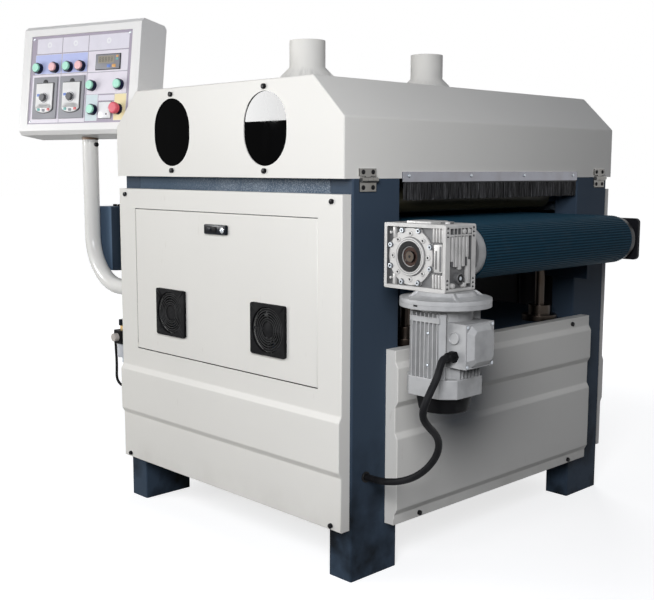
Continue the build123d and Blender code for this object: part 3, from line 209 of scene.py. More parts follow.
class Finish(Tree):
    """A material, and the nodes that vary it over the surface."""

    def __init__(self, name, colour, roughness, **constants):
        self.material = bpy.data.materials.new(name)
        super().__init__(self.material, "Principled BSDF")
        self.set("Base Color", colour)
        self.set("Roughness", roughness)
        for socket, value in constants.items():
            self.set(socket.replace("_", " "), value)
        self.place = self.node("ShaderNodeTexCoord", output="Object")

    def noise(self, scale, detail, stretch=None):
        where = self.place
        if stretch:
            where = self.node("ShaderNodeVectorMath", {0: where, 1: stretch}, operation="MULTIPLY")
        return self.node("ShaderNodeTexNoise", {"Vector": where, "Scale": scale, "Detail": detail})

    def along(self, axis):
        return self.node("ShaderNodeSeparateXYZ", {0: self.place}, axis)

    def between(self, value, low, high):
        ramp = self.node("ShaderNodeValToRGB", {0: value})
        stops = ramp.socket.node.color_ramp.elements
        stops[0].position, stops[1].position = low, high
        return ramp

    def patches(self, scale, detail, low, high, stretch=None):
        return self.between(self.noise(scale, detail, stretch), low, high)

    def made(self, colour, roughness, height=None, depth=0):
        """The material, with its colour, its roughness and any relief."""
        self.set("Base Color", colour)
        self.set("Roughness", roughness)
        if height:
            relief = {"Height": height, "Distance": depth, "Strength": 1}
            self.set("Normal", self.node("ShaderNodeBump", relief))
        return self.material


# Finishes

soil_brown = (0.3, 0.26, 0.21)


def grey(level):
    return (level, level, level)


def shaded(colour, share):
    return tuple(channel * share for channel in colour)


def powder_coat(name, colour, roughness, grain=620, depth=0.00016, soil_and_shade_tone=soil_brown,
                soil_and_shade_height=0.2, sheen=0.07, soil_and_shade_share=0.55):
    """Baked powder paint: fine orange peel, faint clouding, and a tone towards the floor that is
    dirt, and for the navy paint also painted shade.
    """
    finish = Finish(name, colour, roughness, Specular_IOR_Level=sheen)
    cloud, speck = finish.noise(2.6, 4), finish.noise(grain, 3)
    low = ((soil_and_shade_height - finish.along("Z")) / soil_and_shade_height).limited()
    soil_and_shade_mask = (low * finish.patches(9, 6, 0.42, 0.75) * soil_and_shade_share).limited()
    scuff = finish.patches(55, 5, 0.7, 0.8, (1, 1, 0.25))
    paint = finish.mix(cloud, shaded(colour, 0.96), shaded(colour, 1.04))
    paint = finish.mix(scuff * 0.18, finish.mix(soil_and_shade_mask, paint, soil_and_shade_tone), shaded(soil_and_shade_tone, 1.3))
    rough = roughness + 0.1 * (speck - 0.5) + 0.06 * soil_and_shade_mask + 0.08 * scuff
    return finish.made(paint, rough, speck + 0.25 * cloud, depth)


def dust_and_glint_coat(name, colour, dust_and_glint_tone, roughness):
    """Dark paint with pale specks that thicken along the machine towards +X: partly a dusty film,
    partly painted glints of the orange peel and painted light.
    """
    finish = Finish(name, colour, roughness, Specular_IOR_Level=0.03)
    cloud = finish.patches(16, 4, 0.4, 0.65)
    speck = finish.patches(310, 3, 0.47, 0.66)
    dust_and_light_along_x = ((finish.along("X") - home.x + 0.25) / 0.33).limited()
    share = (speck * (0.1 + 0.48 * dust_and_light_along_x) + (0.06 + 0.14 * cloud) * dust_and_light_along_x).limited()
    return finish.made(finish.mix(share, colour, dust_and_glint_tone), roughness + 0.15 * speck, speck, 0.0003)


def cast_metal(name, colour, roughness, grain, depth, metallic, sheen=0.5):
    """Die casting, lightly blasted and sprayed, with dull patches."""
    finish = Finish(name, colour, roughness, Metallic=metallic, Specular_IOR_Level=sheen)
    dull, speck = finish.patches(24, 5, 0.45, 0.7), finish.noise(grain, 3)
    rough = roughness + 0.14 * dull + 0.1 * (speck - 0.5)
    return finish.made(finish.mix(dull, colour, shaded(colour, 0.8)), rough, speck, depth)


def half_painted(name, bare, paint, roughness):
    """Turned metal, bare at its near end and painted at its far one."""
    finish = Finish(name, bare, roughness, Metallic=0.12, Specular_IOR_Level=0.3)
    far = finish.between(finish.along("Y"), 0, 0.02)
    dull, speck = finish.patches(24, 5, 0.45, 0.7), finish.noise(800, 3)
    worn = finish.mix(dull, bare, shaded(bare, 0.8))
    return finish.made(finish.mix(far, worn, paint), roughness + 0.14 * dull, speck, 0.00005)


def drawn_metal(name, colour, roughness, stain, stain_share, stretch=(1, 1, 1)):
    """Ground or drawn metal, with fine lines along one way and faint stains."""
    finish = Finish(name, colour, roughness, Metallic=1)
    lines = finish.noise(400, 3, stretch)
    marks = finish.patches(18, 6, 0.45, 0.8) * stain_share
    rough = roughness + 0.16 * (lines - 0.5) + 0.2 * marks
    return finish.made(finish.mix(marks, colour, stain), rough, lines, 0.00004)


def moulded(name, colour, roughness, grain=900, depth=0.00006, coat=0, sheen=0.12):
    """Moulded plastic or rubber with a fine grain and handling marks."""
    finish = Finish(name, colour, roughness, Coat_Weight=coat, Specular_IOR_Level=sheen)
    speck, marks = finish.noise(grain, 2), finish.patches(30, 6, 0.5, 0.78)
    handled = tuple(0.9 * channel + 0.012 for channel in colour)
    rough = roughness + 0.1 * marks + 0.08 * (speck - 0.5)
    return finish.made(finish.mix(marks, colour, handled), rough, speck, depth)


def acrylic(name, colour):
    """Polished dark pane with faint wiping marks."""
    finish = Finish(name, colour, 0.01, Specular_IOR_Level=0.015)
    wipe = finish.patches(14, 5, 0.52, 0.8, (1, 1, 0.35))
    return finish.made(finish.mix(wipe, colour, shaded(colour, 3)), 0.008 + 0.03 * wipe)


def bristle_fibre(name, colour, glint, stretch):
    """Straight stiff fibres, each a little different; the lighter ones take the glint colour as
    painted glints.
    """
    finish = Finish(name, colour, 0.42, Specular_IOR_Level=0.15)
    strands = finish.noise(1, 4, stretch)
    light = finish.between(strands, 0.53, 0.72)
    return finish.made(finish.mix(light, colour, glint), 0.36 + 0.2 * strands)


def printed(name, colour, roughness=0.4):
    """Printed film, faintly uneven."""
    finish = Finish(name, colour, roughness, Specular_IOR_Level=0.06)
    cloud = finish.noise(45, 4)
    film = finish.mix(cloud, shaded(colour, 0.93), shaded(colour, 1.03))
    return finish.made(film, roughness + 0.12 * (cloud - 0.5))


# Paints: colour and roughness, then the grain and its depth, the tone towards the floor and its
# height (dirt, and for the navy paint also painted shade)
cream_paint = powder_coat("cream_powder_coat", (0.775, 0.755, 0.7), 0.4)
# The near-black inside coat is painted shade on the faces inside the cabinet and hood
painted_shade_inside = powder_coat("painted_shade_inside_coat", (0.03, 0.03, 0.032), 0.6, 500, 0.0001,
                          grey(0.05), 0.1, sheen=0.05)
console_paint = powder_coat("console_white_coat", (0.87, 0.855, 0.825), 0.36, depth=0.00014)
arm_paint = powder_coat("arm_gloss_coat", (0.79, 0.775, 0.73), 0.16, 300, 0.00003, sheen=0.28)
# Lighter and darker copies of the navy: painted light for the cover's front and top, painted shade
# for its corners and sides
painted_light_navy = powder_coat("navy_coat_painted_light", (0.085, 0.13, 0.19), 0.42, 430, 0.0002,
                          grey(0.05), 0.3, sheen=0.03)
painted_shade_navy = powder_coat("navy_coat_painted_shade", (0.022, 0.032, 0.046), 0.45, 430, 0.0002,
                          grey(0.02), 0.3, sheen=0.02)
# Near-black tone strongly mixed in towards the floor: partly dirt, partly painted shade near the
# floor
navy_paint = powder_coat("navy_powder_coat", (0.042, 0.062, 0.09), 0.38, 430, 0.0003,
                         (0.006, 0.007, 0.008), 0.4, sheen=0.03, soil_and_shade_share=1.7)
# Rail navy: its pale specks are partly a dusty film and partly painted glints, thickening towards
# +X as painted light
rail_paint = dust_and_glint_coat("navy_coat_dust_and_painted_glints", (0.05, 0.079, 0.115), (0.34, 0.38, 0.42), 0.45)
black_paint = powder_coat("black_satin_coat", (0.012, 0.012, 0.014), 0.38, 700, 0.0001,
                          grey(0.03), 0.1, sheen=0.05)

# Castings: colour and roughness, the grain and its depth, how metallic
turned_tone = (0.435, 0.435, 0.43)
alloy = cast_metal("die_cast_alloy", (0.49, 0.48, 0.46), 0.36, 520, 0.00014, 0.15, 0.3)
# Darker casting for the pocket floors, grooves and seams of the gearbox: painted shade
alloy_painted_shade = cast_metal("casting_painted_shade", grey(0.115), 0.5, 420, 0.00022, 0.3)
alloy_smooth = cast_metal("turned_alloy", turned_tone, 0.34, 800, 0.00005, 0.12, 0.3)
roller_shell = half_painted("turned_roller", turned_tone, (0.01, 0.01, 0.011), 0.34)
alloy_spray = cast_metal("silver_spray", (0.395, 0.395, 0.39), 0.42, 900, 0.00012, 0.08, 0.25)
rust = cast_metal("rusty_ring", (0.16, 0.1, 0.065), 0.6, 500, 0.0002, 0.2)
iron_grey = cast_metal("motor_grey_iron", (0.13, 0.14, 0.15), 0.5, 600, 0.0002, 0.2)

# Bare metals: colour and roughness, the stain and its share, the way of the lines
column_steel = drawn_metal("oiled_column_steel", (0.038, 0.031, 0.026), 0.3,
                           (0.03, 0.018, 0.012), 0.8, (1, 1, 0.02))
plain_steel = drawn_metal("ground_steel", (0.56, 0.55, 0.53), 0.3,
                          (0.25, 0.2, 0.15), 0.4, (1, 0.02, 1))
hinge_steel = drawn_metal("hinge_steel", (0.22, 0.215, 0.205), 0.38,
                          (0.14, 0.12, 0.09), 0.5, (1, 0.05, 1))
strip_metal = drawn_metal("drawn_aluminium", (0.26, 0.265, 0.295), 0.34,
                          (0.2, 0.18, 0.18), 0.5, (1, 0.01, 1))
zinc = drawn_metal("zinc_plate", (0.42, 0.45, 0.48), 0.34, (0.4, 0.42, 0.44), 0.5)
chrome = drawn_metal("chrome_plate", (0.36, 0.37, 0.38), 0.16, grey(0.45), 0.3)
brass = drawn_metal("brass", (0.62, 0.42, 0.18), 0.26, (0.3, 0.18, 0.08), 0.5, (1, 1, 0.1))
shaft_grey = drawn_metal("plain_shaft", (0.075, 0.062, 0.054), 0.34, (0.05, 0.04, 0.03), 0.8)
shaft_brown = drawn_metal("oiled_shaft", (0.036, 0.022, 0.019), 0.34, (0.03, 0.02, 0.016), 0.8)

# Plastic and rubber: colour and roughness, the grain and its depth
black_oxide = moulded("black_oxide_screw", (0.006, 0.006, 0.007), 0.36, sheen=0.08)
black_plastic = moulded("moulded_black", (0.0055, 0.0055, 0.006), 0.44, sheen=0.04)
black_gloss = moulded("glossy_black", (0.006, 0.008, 0.012), 0.3, 500, 0.00003, sheen=0.06)
# Rings of the fan guards, lighter than the black frame as painted sheen
guard_rings_painted_sheen = moulded("guard_rings_painted_sheen", (0.05, 0.05, 0.049), 0.4, sheen=0.06)
# Black rubber for seals and grommets, also used for dark discs and slots that are painted shade in
# holes
seal_rubber_and_painted_shade = moulded("seal_rubber_and_painted_shade", grey(0.01), 0.5)
cord_rubber = moulded("cord_rubber", (0.008, 0.008, 0.009), 0.52, 1200, 0.00008, sheen=0.06)
belt_teal = moulded("belt_rib", (0.011, 0.048, 0.078), 0.46, 700, 0.0001, sheen=0.03)
# Darker copy of the rib colour for the belt between its ribs: painted shade
belt_groove_painted_shade = moulded("belt_groove_painted_shade", (0.005, 0.022, 0.036), 0.5, 700, 0.0001, sheen=0.02)
hold_down_olive = moulded("hold_down_rubber", (0.062, 0.056, 0.032), 0.36, 500, 0.00008)
abrasive = moulded("abrasive_cloth", (0.24, 0.1, 0.06), 0.8, 1500, 0.0004)
drive_rubber = moulded("drive_belt_rubber", grey(0.02), 0.6)
gauge_beige = moulded("gauge_face", (0.5, 0.46, 0.42), 0.4)
bowl_clear = moulded("regulator_bowl", (0.55, 0.56, 0.58), 0.18, 300, 0.00002, 0.4)
window_black = acrylic("black_acrylic", (0.0006, 0.0006, 0.0007))
# Black curtain strands, some with grey painted glints
curtain_black = bristle_fibre("curtain_bristle", (0.0045, 0.0045, 0.005), (0.12, 0.12, 0.125),
                              (300, 900, 14))
brush_tan = bristle_fibre("brush_bristle", (0.2, 0.13, 0.07), (0.42, 0.31, 0.18), (500, 700, 500))

# Console films, keys and caps
foil_lilac = printed("foil_lilac", (0.43, 0.38, 0.45))
foil_card = printed("foil_title_card", (0.8, 0.77, 0.83))
foil_pale = printed("foil_pale_field", (0.84, 0.79, 0.845))
foil_blue = printed("foil_blue_field", (0.54, 0.59, 0.88))
foil_teal = printed("foil_teal_field", (0.69, 0.79, 0.8))
foil_yellow = printed("foil_yellow_field", (0.9, 0.79, 0.46))
foil_line = printed("foil_white_line", (0.9, 0.89, 0.91))
keypad_grey = moulded("keypad_grey", (0.27, 0.27, 0.29), 0.45)
keypad_white = moulded("keypad_white", (0.78, 0.77, 0.75), 0.35)
keypad_dark = moulded("keypad_dark", (0.02, 0.02, 0.024), 0.4)
lcd_brown = printed("lcd_face", (0.34, 0.31, 0.25), 0.2)
lcd_ink = printed("lcd_ink", (0.08, 0.08, 0.07), 0.3)
key_orange = moulded("key_orange", (0.8, 0.42, 0.14), 0.35)
key_blue = moulded("key_blue", (0.16, 0.26, 0.62), 0.35)
key_red = moulded("key_red", (0.66, 0.16, 0.15), 0.35)
key_teal = moulded("key_teal", (0.18, 0.46, 0.42), 0.35)
meter_white = moulded("meter_white", (0.88, 0.88, 0.875), 0.3)
green_cap = moulded("green_button", (0.42, 0.83, 0.64), 0.3, 600, 0.00004, 0.3)
rose_cap = moulded("rose_button", (0.89, 0.51, 0.51), 0.3, 600, 0.00004, 0.3)
stop_red = moulded("stop_red", (0.76, 0.1, 0.14), 0.28, 600, 0.00004, 0.4)
bezel_dark = moulded("button_bezel", (0.006, 0.01, 0.034), 0.3)
knob_dark = moulded("knob_dark", (0.1, 0.1, 0.105), 0.42)


# Stage

floor_half = 30
floor_seen, floor_lit = grey(0.5), grey(0.07)
glow_near, glow_more = 0.74, 0.26
fade_start, fade_length = 1.6, 2.5
surround_light, white = (0.018, 0.026, 0.045), grey(1)


# Pale floor that reads as white to the camera and still holds the machine's shadow
bm = bmesh.new()
bmesh.ops.create_grid(bm, x_segments=1, y_segments=1, size=floor_half)
bmesh.ops.translate(bm, vec=home, verts=bm.verts)
mesh = bpy.data.meshes.new("floor")
bm.to_mesh(mesh)
bm.free()
floor = put("floor", mesh)
finish = Finish("floor", floor_seen, 0.9, Specular_IOR_Level=0, Emission_Strength=1)
seen = finish.seen()
finish.set("Base Color", finish.mix(seen, floor_lit, floor_seen))
across, along = finish.along("X"), finish.along("Y")
away = (across * across + along * along) ** 0.5
fade = ((away - fade_start) / fade_length).limited()
finish.set("Emission Color", seen * (glow_near + glow_more * fade))
mesh.materials.append(finish.material)


# White surroundings for the eye, and a plain level of light from all round
world = bpy.data.worlds.new("studio")
bpy.context.scene.world = world
tree = Tree(world, "Background")
tree.set("Color", tree.mix(tree.seen(), surround_light, white))
tree.set("Strength", 1)


softbox("key", spot(-1750, -3500, 2200), (2, 1.8), 31)
softbox("low_key", spot(-2300, -2800, 700), (1.2, 0.9), 31.5, hidden=("glossy",))
fill = softbox("fill", spot(1900, -2380, 1700), (0.9, 1.1), 68)
fill.color = (0.94, 0.955, 1)
softbox("back", spot(-2500, 3100, 2300), (2, 1.8), 78, hidden=("camera", "glossy"))
softbox("window_card", spot(-2030, -2463, 1337), (0.44, 0.24), 95, spot(-2030, 0, 1337),
        hidden=("diffuse",))
bpy.context.scene.view_settings.view_transform = "Standard"


# Cords

cable_points = [
    (737, -539, 577), (737, -547, 577), (737, -555, 570.5), (737, -560, 559), (737, -567, 542),
    (736, -577, 526), (735, -587, 511), (733, -596, 495), (730, -602, 478), (727, -600, 462),
    (724, -590, 447), (718, -566, 428), (711, -537, 408), (702, -514, 382), (688, -504, 352),
    (664, -503, 319), (630, -506, 290), (588, -507, 270), (543, -501, 257), (500, -490, 248),
    (460, -490, 248),
]
hose_points = [
    (-572, -515, 452), (-572, -515, 426), (-567, -516, 393), (-566, -517, 360), (-568, -517, 332),
    (-556, -515, 316), (-537, -511, 310), (-518, -508, 316), (-506, -505, 332), (-505, -503, 352),
    (-497, -501, 366), (-483, -500, 374), (-468, -500, 374),
]


def cord_line(name, points):
    curve = bpy.data.curves.new(name, "CURVE")
    curve.dimensions = "3D"
    curve.bevel_resolution = 5
    curve.use_fill_caps = True
    line = curve.splines.new("NURBS")
    line.points.add(len(points) - 1)
    for point, place in zip(line.points, points):
        point.co = (*spot(*place), 1)
    line.order_u = 3
    line.use_endpoint_u = True
    line.resolution_u = 10
    return curve


def tube_mesh(curve, diameter):
    """Closed tube on a line, and the points that it follows."""
    line = bpy.data.objects.new(curve.name + "_line", curve)
    path = [vertex.co.copy() for vertex in bpy.data.meshes.new_from_object(line).vertices]
    curve.bevel_depth = diameter / 2
    tube = bpy.data.meshes.new_from_object(line)
    bm = bmesh.new()
    bm.from_mesh(tube)
    clean(bm)
    for face in bm.faces:
        face.smooth = len(face.verts) == 4
    bm.to_mesh(tube)
    bm.free()
    bpy.data.objects.remove(line)
    return tube, path


def make_cord(name, points, diameter, finish, node, fixed=None):
    """Round cord on a smooth line through its route. With fixed it becomes a tube mesh that stays
    in place under no body; else a curve that moves with its part's body.
    """
    data, path = cord_line(name, points), None
    if fixed:
        data, path = tube_mesh(data, diameter)
    else:
        data.bevel_depth = diameter / 2
    cord = put(name, data)
    data.materials.clear()
    data.materials.append(finish)
    if fixed:
        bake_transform(cord)
    else:
        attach(cord, body_of[node])
    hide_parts(node)
    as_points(path)


# Building blocks for new pieces

merge_reach, model_merge_reach = 1e-6, 2e-6
smooth_limit, flat_limit = 32, 0.6
bevel_angle, fold_angle, fold_steps = 35, 0.2, 4


def clean(bm):
    """Merges doubled points and turns every face outwards."""
    bmesh.ops.remove_doubles(bm, verts=bm.verts, dist=merge_reach)
    bmesh.ops.recalc_face_normals(bm, faces=bm.faces)
    return bm


def merge(bm, shape):
    mesh = bpy.data.meshes.new("shape")
    shape.to_mesh(mesh)
    shape.free()
    bm.from_mesh(mesh)
    bpy.data.meshes.remove(mesh)


def model_mesh(node):
    """Working copy of a model part's mesh with its doubled points merged."""
    bm = bmesh.new()
    bm.from_mesh(nodes[node].data)
    bmesh.ops.remove_doubles(bm, verts=bm.verts, dist=model_merge_reach)
    return bm


class Piece:
    """One mesh piece that is put together from simple shapes, each with its finish."""

    def __init__(self, name):
        self.name = name
        self.bm = bmesh.new()
        self.finishes = []

    def index(self, finish):
        if finish not in self.finishes:
            self.finishes.append(finish)
        return self.finishes.index(finish)

    def add(self, finish, shape, place=None):
        number = self.index(finish)
        for face in shape.faces:
            face.material_index = number
        if place is not None:
            bmesh.ops.transform(shape, matrix=place, verts=shape.verts)
        merge(self.bm, shape)

    def done(self, body, slot, *replaced, weighted=False):
        mesh = bpy.data.meshes.new(self.name)
        self.bm.to_mesh(mesh)
        self.bm.free()
        mesh.polygons.foreach_set("use_smooth", [True] * len(mesh.polygons))
        mesh.set_sharp_from_angle(angle=math.radians(smooth_limit))
        for finish in self.finishes:
            mesh.materials.append(finish)
        made = put(self.name, mesh)
        if weighted:
            normals = made.modifiers.new("face_weight", "WEIGHTED_NORMAL")
            normals.keep_sharp = True
        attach(made, body)
        if replaced:
            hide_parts(*replaced)

    def instead_of(self, node, weighted=False):
        self.done(body_of[node], slot_of[node], node, weighted=weighted)


def facing(x, y, z, normal, turn=0):
    """Placement with local +Z along the normal and local +Y upright."""
    out = Vector(normal).normalized()
    side = Vector(rear if abs(out.z) > 0.99 else upward).cross(out).normalized()
    axes = Matrix((side, out.cross(side), out)).transposed().to_4x4()
    return at(x, y, z) @ axes @ about("Z", turn)


def move(bm, x, y, z, verts=None):
    chosen = bm.verts if verts is None else verts
    bmesh.ops.translate(bm, vec=(x * mm, y * mm, z * mm), verts=chosen)


def turned(profile, steps=40):
    """Solid of revolution about Z from (radius, height) points."""
    bm = bmesh.new()
    points = [bm.verts.new((radius * mm, 0, height * mm)) for radius, height in profile]
    edges = [bm.edges.new(pair) for pair in zip(points, points[1:])]
    bmesh.ops.spin(bm, geom=points + edges, axis=(0, 0, 1), cent=(0, 0, 0), angle=full_turn,
                   steps=steps, use_merge=True)
    return clean(bm)


def bevelled(bm, edges, width, segments=2):
    bmesh.ops.bevel(bm, geom=edges, offset=width * mm, offset_type="OFFSET", affect="EDGES",
                    segments=segments, profile=0.5, material=-1, clamp_overlap=True)


def slab(width, height, depth, edge=0, segments=2):
    """Box with rounded edges, standing on the local XY plane."""
    bm = bmesh.new()
    bmesh.ops.create_cube(bm, size=1)
    bmesh.ops.scale(bm, vec=(width * mm, height * mm, depth * mm), verts=bm.verts)
    move(bm, 0, 0, depth / 2)
    if edge:
        bevelled(bm, list(bm.edges), edge, segments)
    return bm


def plate(width, height, depth, corner, edge=0):
    """Plate with round corners, standing on the local XY plane."""
    bm = slab(width, height, depth)
    middle, near_top = depth * mm / 2, depth * mm * 0.99
    upright = [e for e in bm.edges if abs(e.verts[0].co.z - e.verts[1].co.z) > middle]
    bevelled(bm, upright, corner, 5)
    if edge:
        bevelled(bm, [e for e in bm.edges if all(v.co.z > near_top for v in e.verts)], edge)
    return bm


def drum(radius, depth, edge=0, steps=32):
    """Round disc or bar with a rounded top edge."""
    rim = [(radius, depth)]
    if edge:
        rim = [(radius, depth - edge), (radius - edge * 0.3, depth - edge * 0.3),
               (radius - edge, depth)]
    return turned([(0, 0), (radius, 0), *rim, (0, depth)], steps)


def collar(outer, inner, depth, edge=0, steps=40):
    profile = [(outer, 0), (outer, depth - edge), (outer - edge, depth), (inner + edge, depth),
               (inner, depth - edge), (inner, 0), (outer, 0)]
    return turned(profile, steps)


def hoop(radius, wire):
    corners = 6
    angles = [full_turn * number / corners for number in range(corners + 1)]
    return turned([(radius + wire * math.cos(a), wire * math.sin(a)) for a in angles], 44)


def cone(low, high, depth, sides):
    """Bar about the local origin."""
    bm = bmesh.new()
    bmesh.ops.create_cone(bm, cap_ends=True, segments=sides, radius1=low * mm, radius2=high * mm,
                          depth=depth * mm)
    return bm


def recessed(bm, radius, height):
    """Sinks a hexagon recess into the top of a screw head."""
    cutter = bmesh.ops.create_cone(bm, cap_ends=True, segments=6, radius1=radius * mm,
                                   radius2=radius * mm, depth=height * mm * 0.04)["verts"]
    move(bm, 0, 0, height, cutter)
    lids = [face for face in bm.faces if all(v in cutter for v in face.verts)]
    top = max(lids, key=lambda face: face.calc_center_median().z)
    bmesh.ops.inset_region(bm, faces=[top], thickness=radius * mm * 0.12)
    move(bm, 0, 0, -height * 0.45, top.verts)
    return bm


def socket_screw(radius, height):
    return recessed(drum(radius, height, radius * 0.2, 24), radius * 0.55, height)


def pan_screw(radius, height):
    dome = turned([(0, 0), (radius, 0), (radius * 0.94, height * 0.45),
                   (radius * 0.72, height * 0.8), (radius * 0.5, height), (0, height)], 24)
    return recessed(dome, radius * 0.46, height)


def hex_bolt(radius, height):
    bm = cone(radius, radius, height, 6)
    move(bm, 0, 0, height / 2 + height * 0.25)
    rim = [e for e in bm.edges if all(v.co.z > height * mm for v in e.verts)]
    bevelled(bm, rim, radius * 0.14)
    merge(bm, collar(radius * 1.25, radius * 0.3, height * 0.25, height * 0.05, 24))
    return bm


def fasten(name, body, head, size, normal, *places, bright=False):
    """One piece that holds like screws. Without a normal, each points away along X."""
    slot, finish = ("ground_steel", zinc) if bright else ("black_plastic", black_oxide)
    piece = Piece(name)
    for place in product(*places):
        out = normal or (math.copysign(1, place[0]), 0, 0)
        piece.add(finish, head(*size), facing(*place, out, chance.uniform(0, full_turn)))
    piece.done(body, slot)


def dressed(node, choose, width=0, folds=None, angle=bevel_angle):
    """Copy of a model part with rounded folds or edges, and a finish for each face."""
    bm = model_mesh(node)
    bmesh.ops.dissolve_limit(bm, angle_limit=math.radians(flat_limit), verts=bm.verts,
                             edges=bm.edges)
    shared = [e for e in bm.edges if len(e.link_faces) == 2]
    if folds:
        bent = [e for e in shared if e.calc_face_angle() > fold_angle and folds(e)]
        bevelled(bm, bent, width, fold_steps)
    elif width:
        sharp = math.radians(angle)
        bevelled(bm, [e for e in shared if e.is_convex and e.calc_face_angle() > sharp], width)
    piece = Piece(node + "_dressed")
    for face in bm.faces:
        finish = choose if isinstance(choose, bpy.types.Material) else choose(face)
        face.material_index = piece.index(finish)
    merge(piece.bm, bm)
    piece.instead_of(node, weighted=bool(width))


make_cord("motor_lead", cable_points, 0.016, cord_rubber, "motor_cable", "base")
make_cord("air_line", hose_points, 0.008, cord_rubber, "air_hose")


# Sizes and places of the machine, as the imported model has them

post_out_x, post_out_y = 460, 537
front_face = -565
end_face = 490
door_half, door_bottom, door_top = 373, 458.5, 854.5
fan_x, fan_z = 203, 577
guard_bore, guard_hub = 57, 19
lock_z, lock_half, lock_pivot = 813, 45, 32
hood_x, hood_y, hood_bottom, hood_top = 459, 566, 946, 1180
window_x = 190
hinge_y = 492.5
strip_face, strip_bottom = 463, 937.5
bristle_half, bristle_length, bristle_middle = 369.5, 44, 461
brush_x, brush_z, brush_half = 190, 1008, 330
roller_x, roller_z = 609, 779.7
belt_half, belt_radius = 320, 62.8
rib_pitch, rib_width, rib_height, rib_sunk = 7, 4, 1.2, 0.4
bracket_y = 372
gear_front_y, gear_side_x = -516, 711
motor_x, motor_y, flange_slot_z = 672, -465, 683.2
box_z, box_front, lid_rim_x, gland_x = 599.2, -513, 767, 737
arm_x, arm_y, arm_top = -720.5, -495, 1050
console_z, console_turn, console_tilt, console_offset = 1229.3, 16.6, 7.6, 10.7
plate_face, plate_half_width, plate_half_height = -54.5, 200.5, 135.5
regulator_x, regulator_y, regulator_z = -528, -515, 466
hair = 0.3


def middle_of(face, x=0, y=0, z=0):
    """Middle of a face, in millimetres from a place."""
    return (face.calc_center_median() - spot(x, y, z)) * per_metre


def both(edge, *tests):
    """Whether one of the tests of a place holds at both ends of an edge."""
    ends = [(vert.co - home) * per_metre for vert in edge.verts]
    return any(all(test(end) for end in ends) for test in tests)


# Edges that are rounded as folds of sheet metal and tubes


def front_fold(edge):
    opening = both(edge, lambda p: abs(p.x) < door_half + 8 and p.z > door_bottom - 10)
    return both(edge, lambda p: p.y < front_face + hair) and not opening


def rear_fold(edge):
    return both(edge, lambda p: p.y > -front_face - hair)


def end_fold(edge):
    return both(edge, lambda p: abs(p.x) > end_face - hair)


def door_fold(edge):
    rim = both(edge, lambda p: abs(p.x) > door_half - hair,
               lambda p: p.z < door_bottom + hair, lambda p: p.z > door_top - hair)
    return rim and both(edge, lambda p: p.y < front_face + hair)


def hood_fold(edge):
    outside = both(edge, lambda p: abs(p.y) > hood_y - hair,
                   lambda p: abs(p.x) > hood_x - hair, lambda p: p.z > hood_top - hair)
    rim = both(edge, lambda p: p.z < hood_bottom + hair)
    return outside and not rim and edge.calc_length() > 0.06


def tube_fold(edge):
    return edge.calc_length() > 0.5 and edge.is_convex


# Finishes that change over a part


def sheet_finish(axis):
    """Cream paint outside and near-black painted shade on the inside faces, for sheets across one
    axis.
    """
    def choose(face):
        side = middle_of(face)[axis]
        inside = face.normal[axis] * side < -0.5 * abs(side)
        return painted_shade_inside if inside else cream_paint
    return choose


# Cream paint outside, and near-black painted shade on the faces inside the hood
def hood_finish(face):
    inside = face.normal.dot(middle_of(face, 0, 0, hood_bottom)) < 0
    return painted_shade_inside if inside else cream_paint


# Tracking cover: the front and top take the lighter navy as painted light, the rounded corners and
# sides the darker navy as painted shade
def cover_painted_light_and_shade(face):
    return painted_light_navy if face.normal.y < -0.9 or face.normal.z > 0.9 else painted_shade_navy


def brush_drive_finish(face):
    return drive_rubber if middle_of(face).y > post_out_y else iron_grey


# Pocket floors of the gearbox's front and side take the darker casting as painted shade
def gearbox_finish(face):
    middle = middle_of(face)
    front_floor = face.normal.y < -0.9 and middle.y > gear_front_y + 6
    side_floor = face.normal.x > 0.9 and middle.x < gear_side_x - 6
    return alloy_painted_shade if front_floor or side_floor else alloy


def gearbox_cover_finish(face):
    middle = middle_of(face, roller_x, 0, roller_z)
    raised = middle.y < gear_front_y + 4.9
    return zinc if raised and middle.xz.length > 54 else alloy


def roller_finish(face):
    middle = middle_of(face, roller_x, 0, roller_z)
    if middle.y > 0:
        return black_paint
    if middle.y > -(belt_half + 40):
        return roller_shell
    if middle.y > gear_front_y + 3.5:
        return shaft_brown
    return seal_rubber_and_painted_shade if middle.xz.length > 13 else shaft_grey


def hold_down_finish(face):
    return plain_steel if abs(middle_of(face).y) > belt_half + 9.9 else hold_down_olive


def regulator_finish(face):
    middle = middle_of(face, regulator_x, regulator_y, regulator_z)
    cap_low, neck_low, body_low, bowl_low = 34, 20.5, -20.5, -62.5
    if middle.z > cap_low:
        return black_gloss
    if middle.z > neck_low:
        return brass
    if middle.z > body_low:
        gauge = middle.y < -22.5 and abs(middle.x) < 23
        return gauge_beige if gauge else black_plastic
    return bowl_clear if middle.z > bowl_low and abs(middle.x) < 20 else zinc


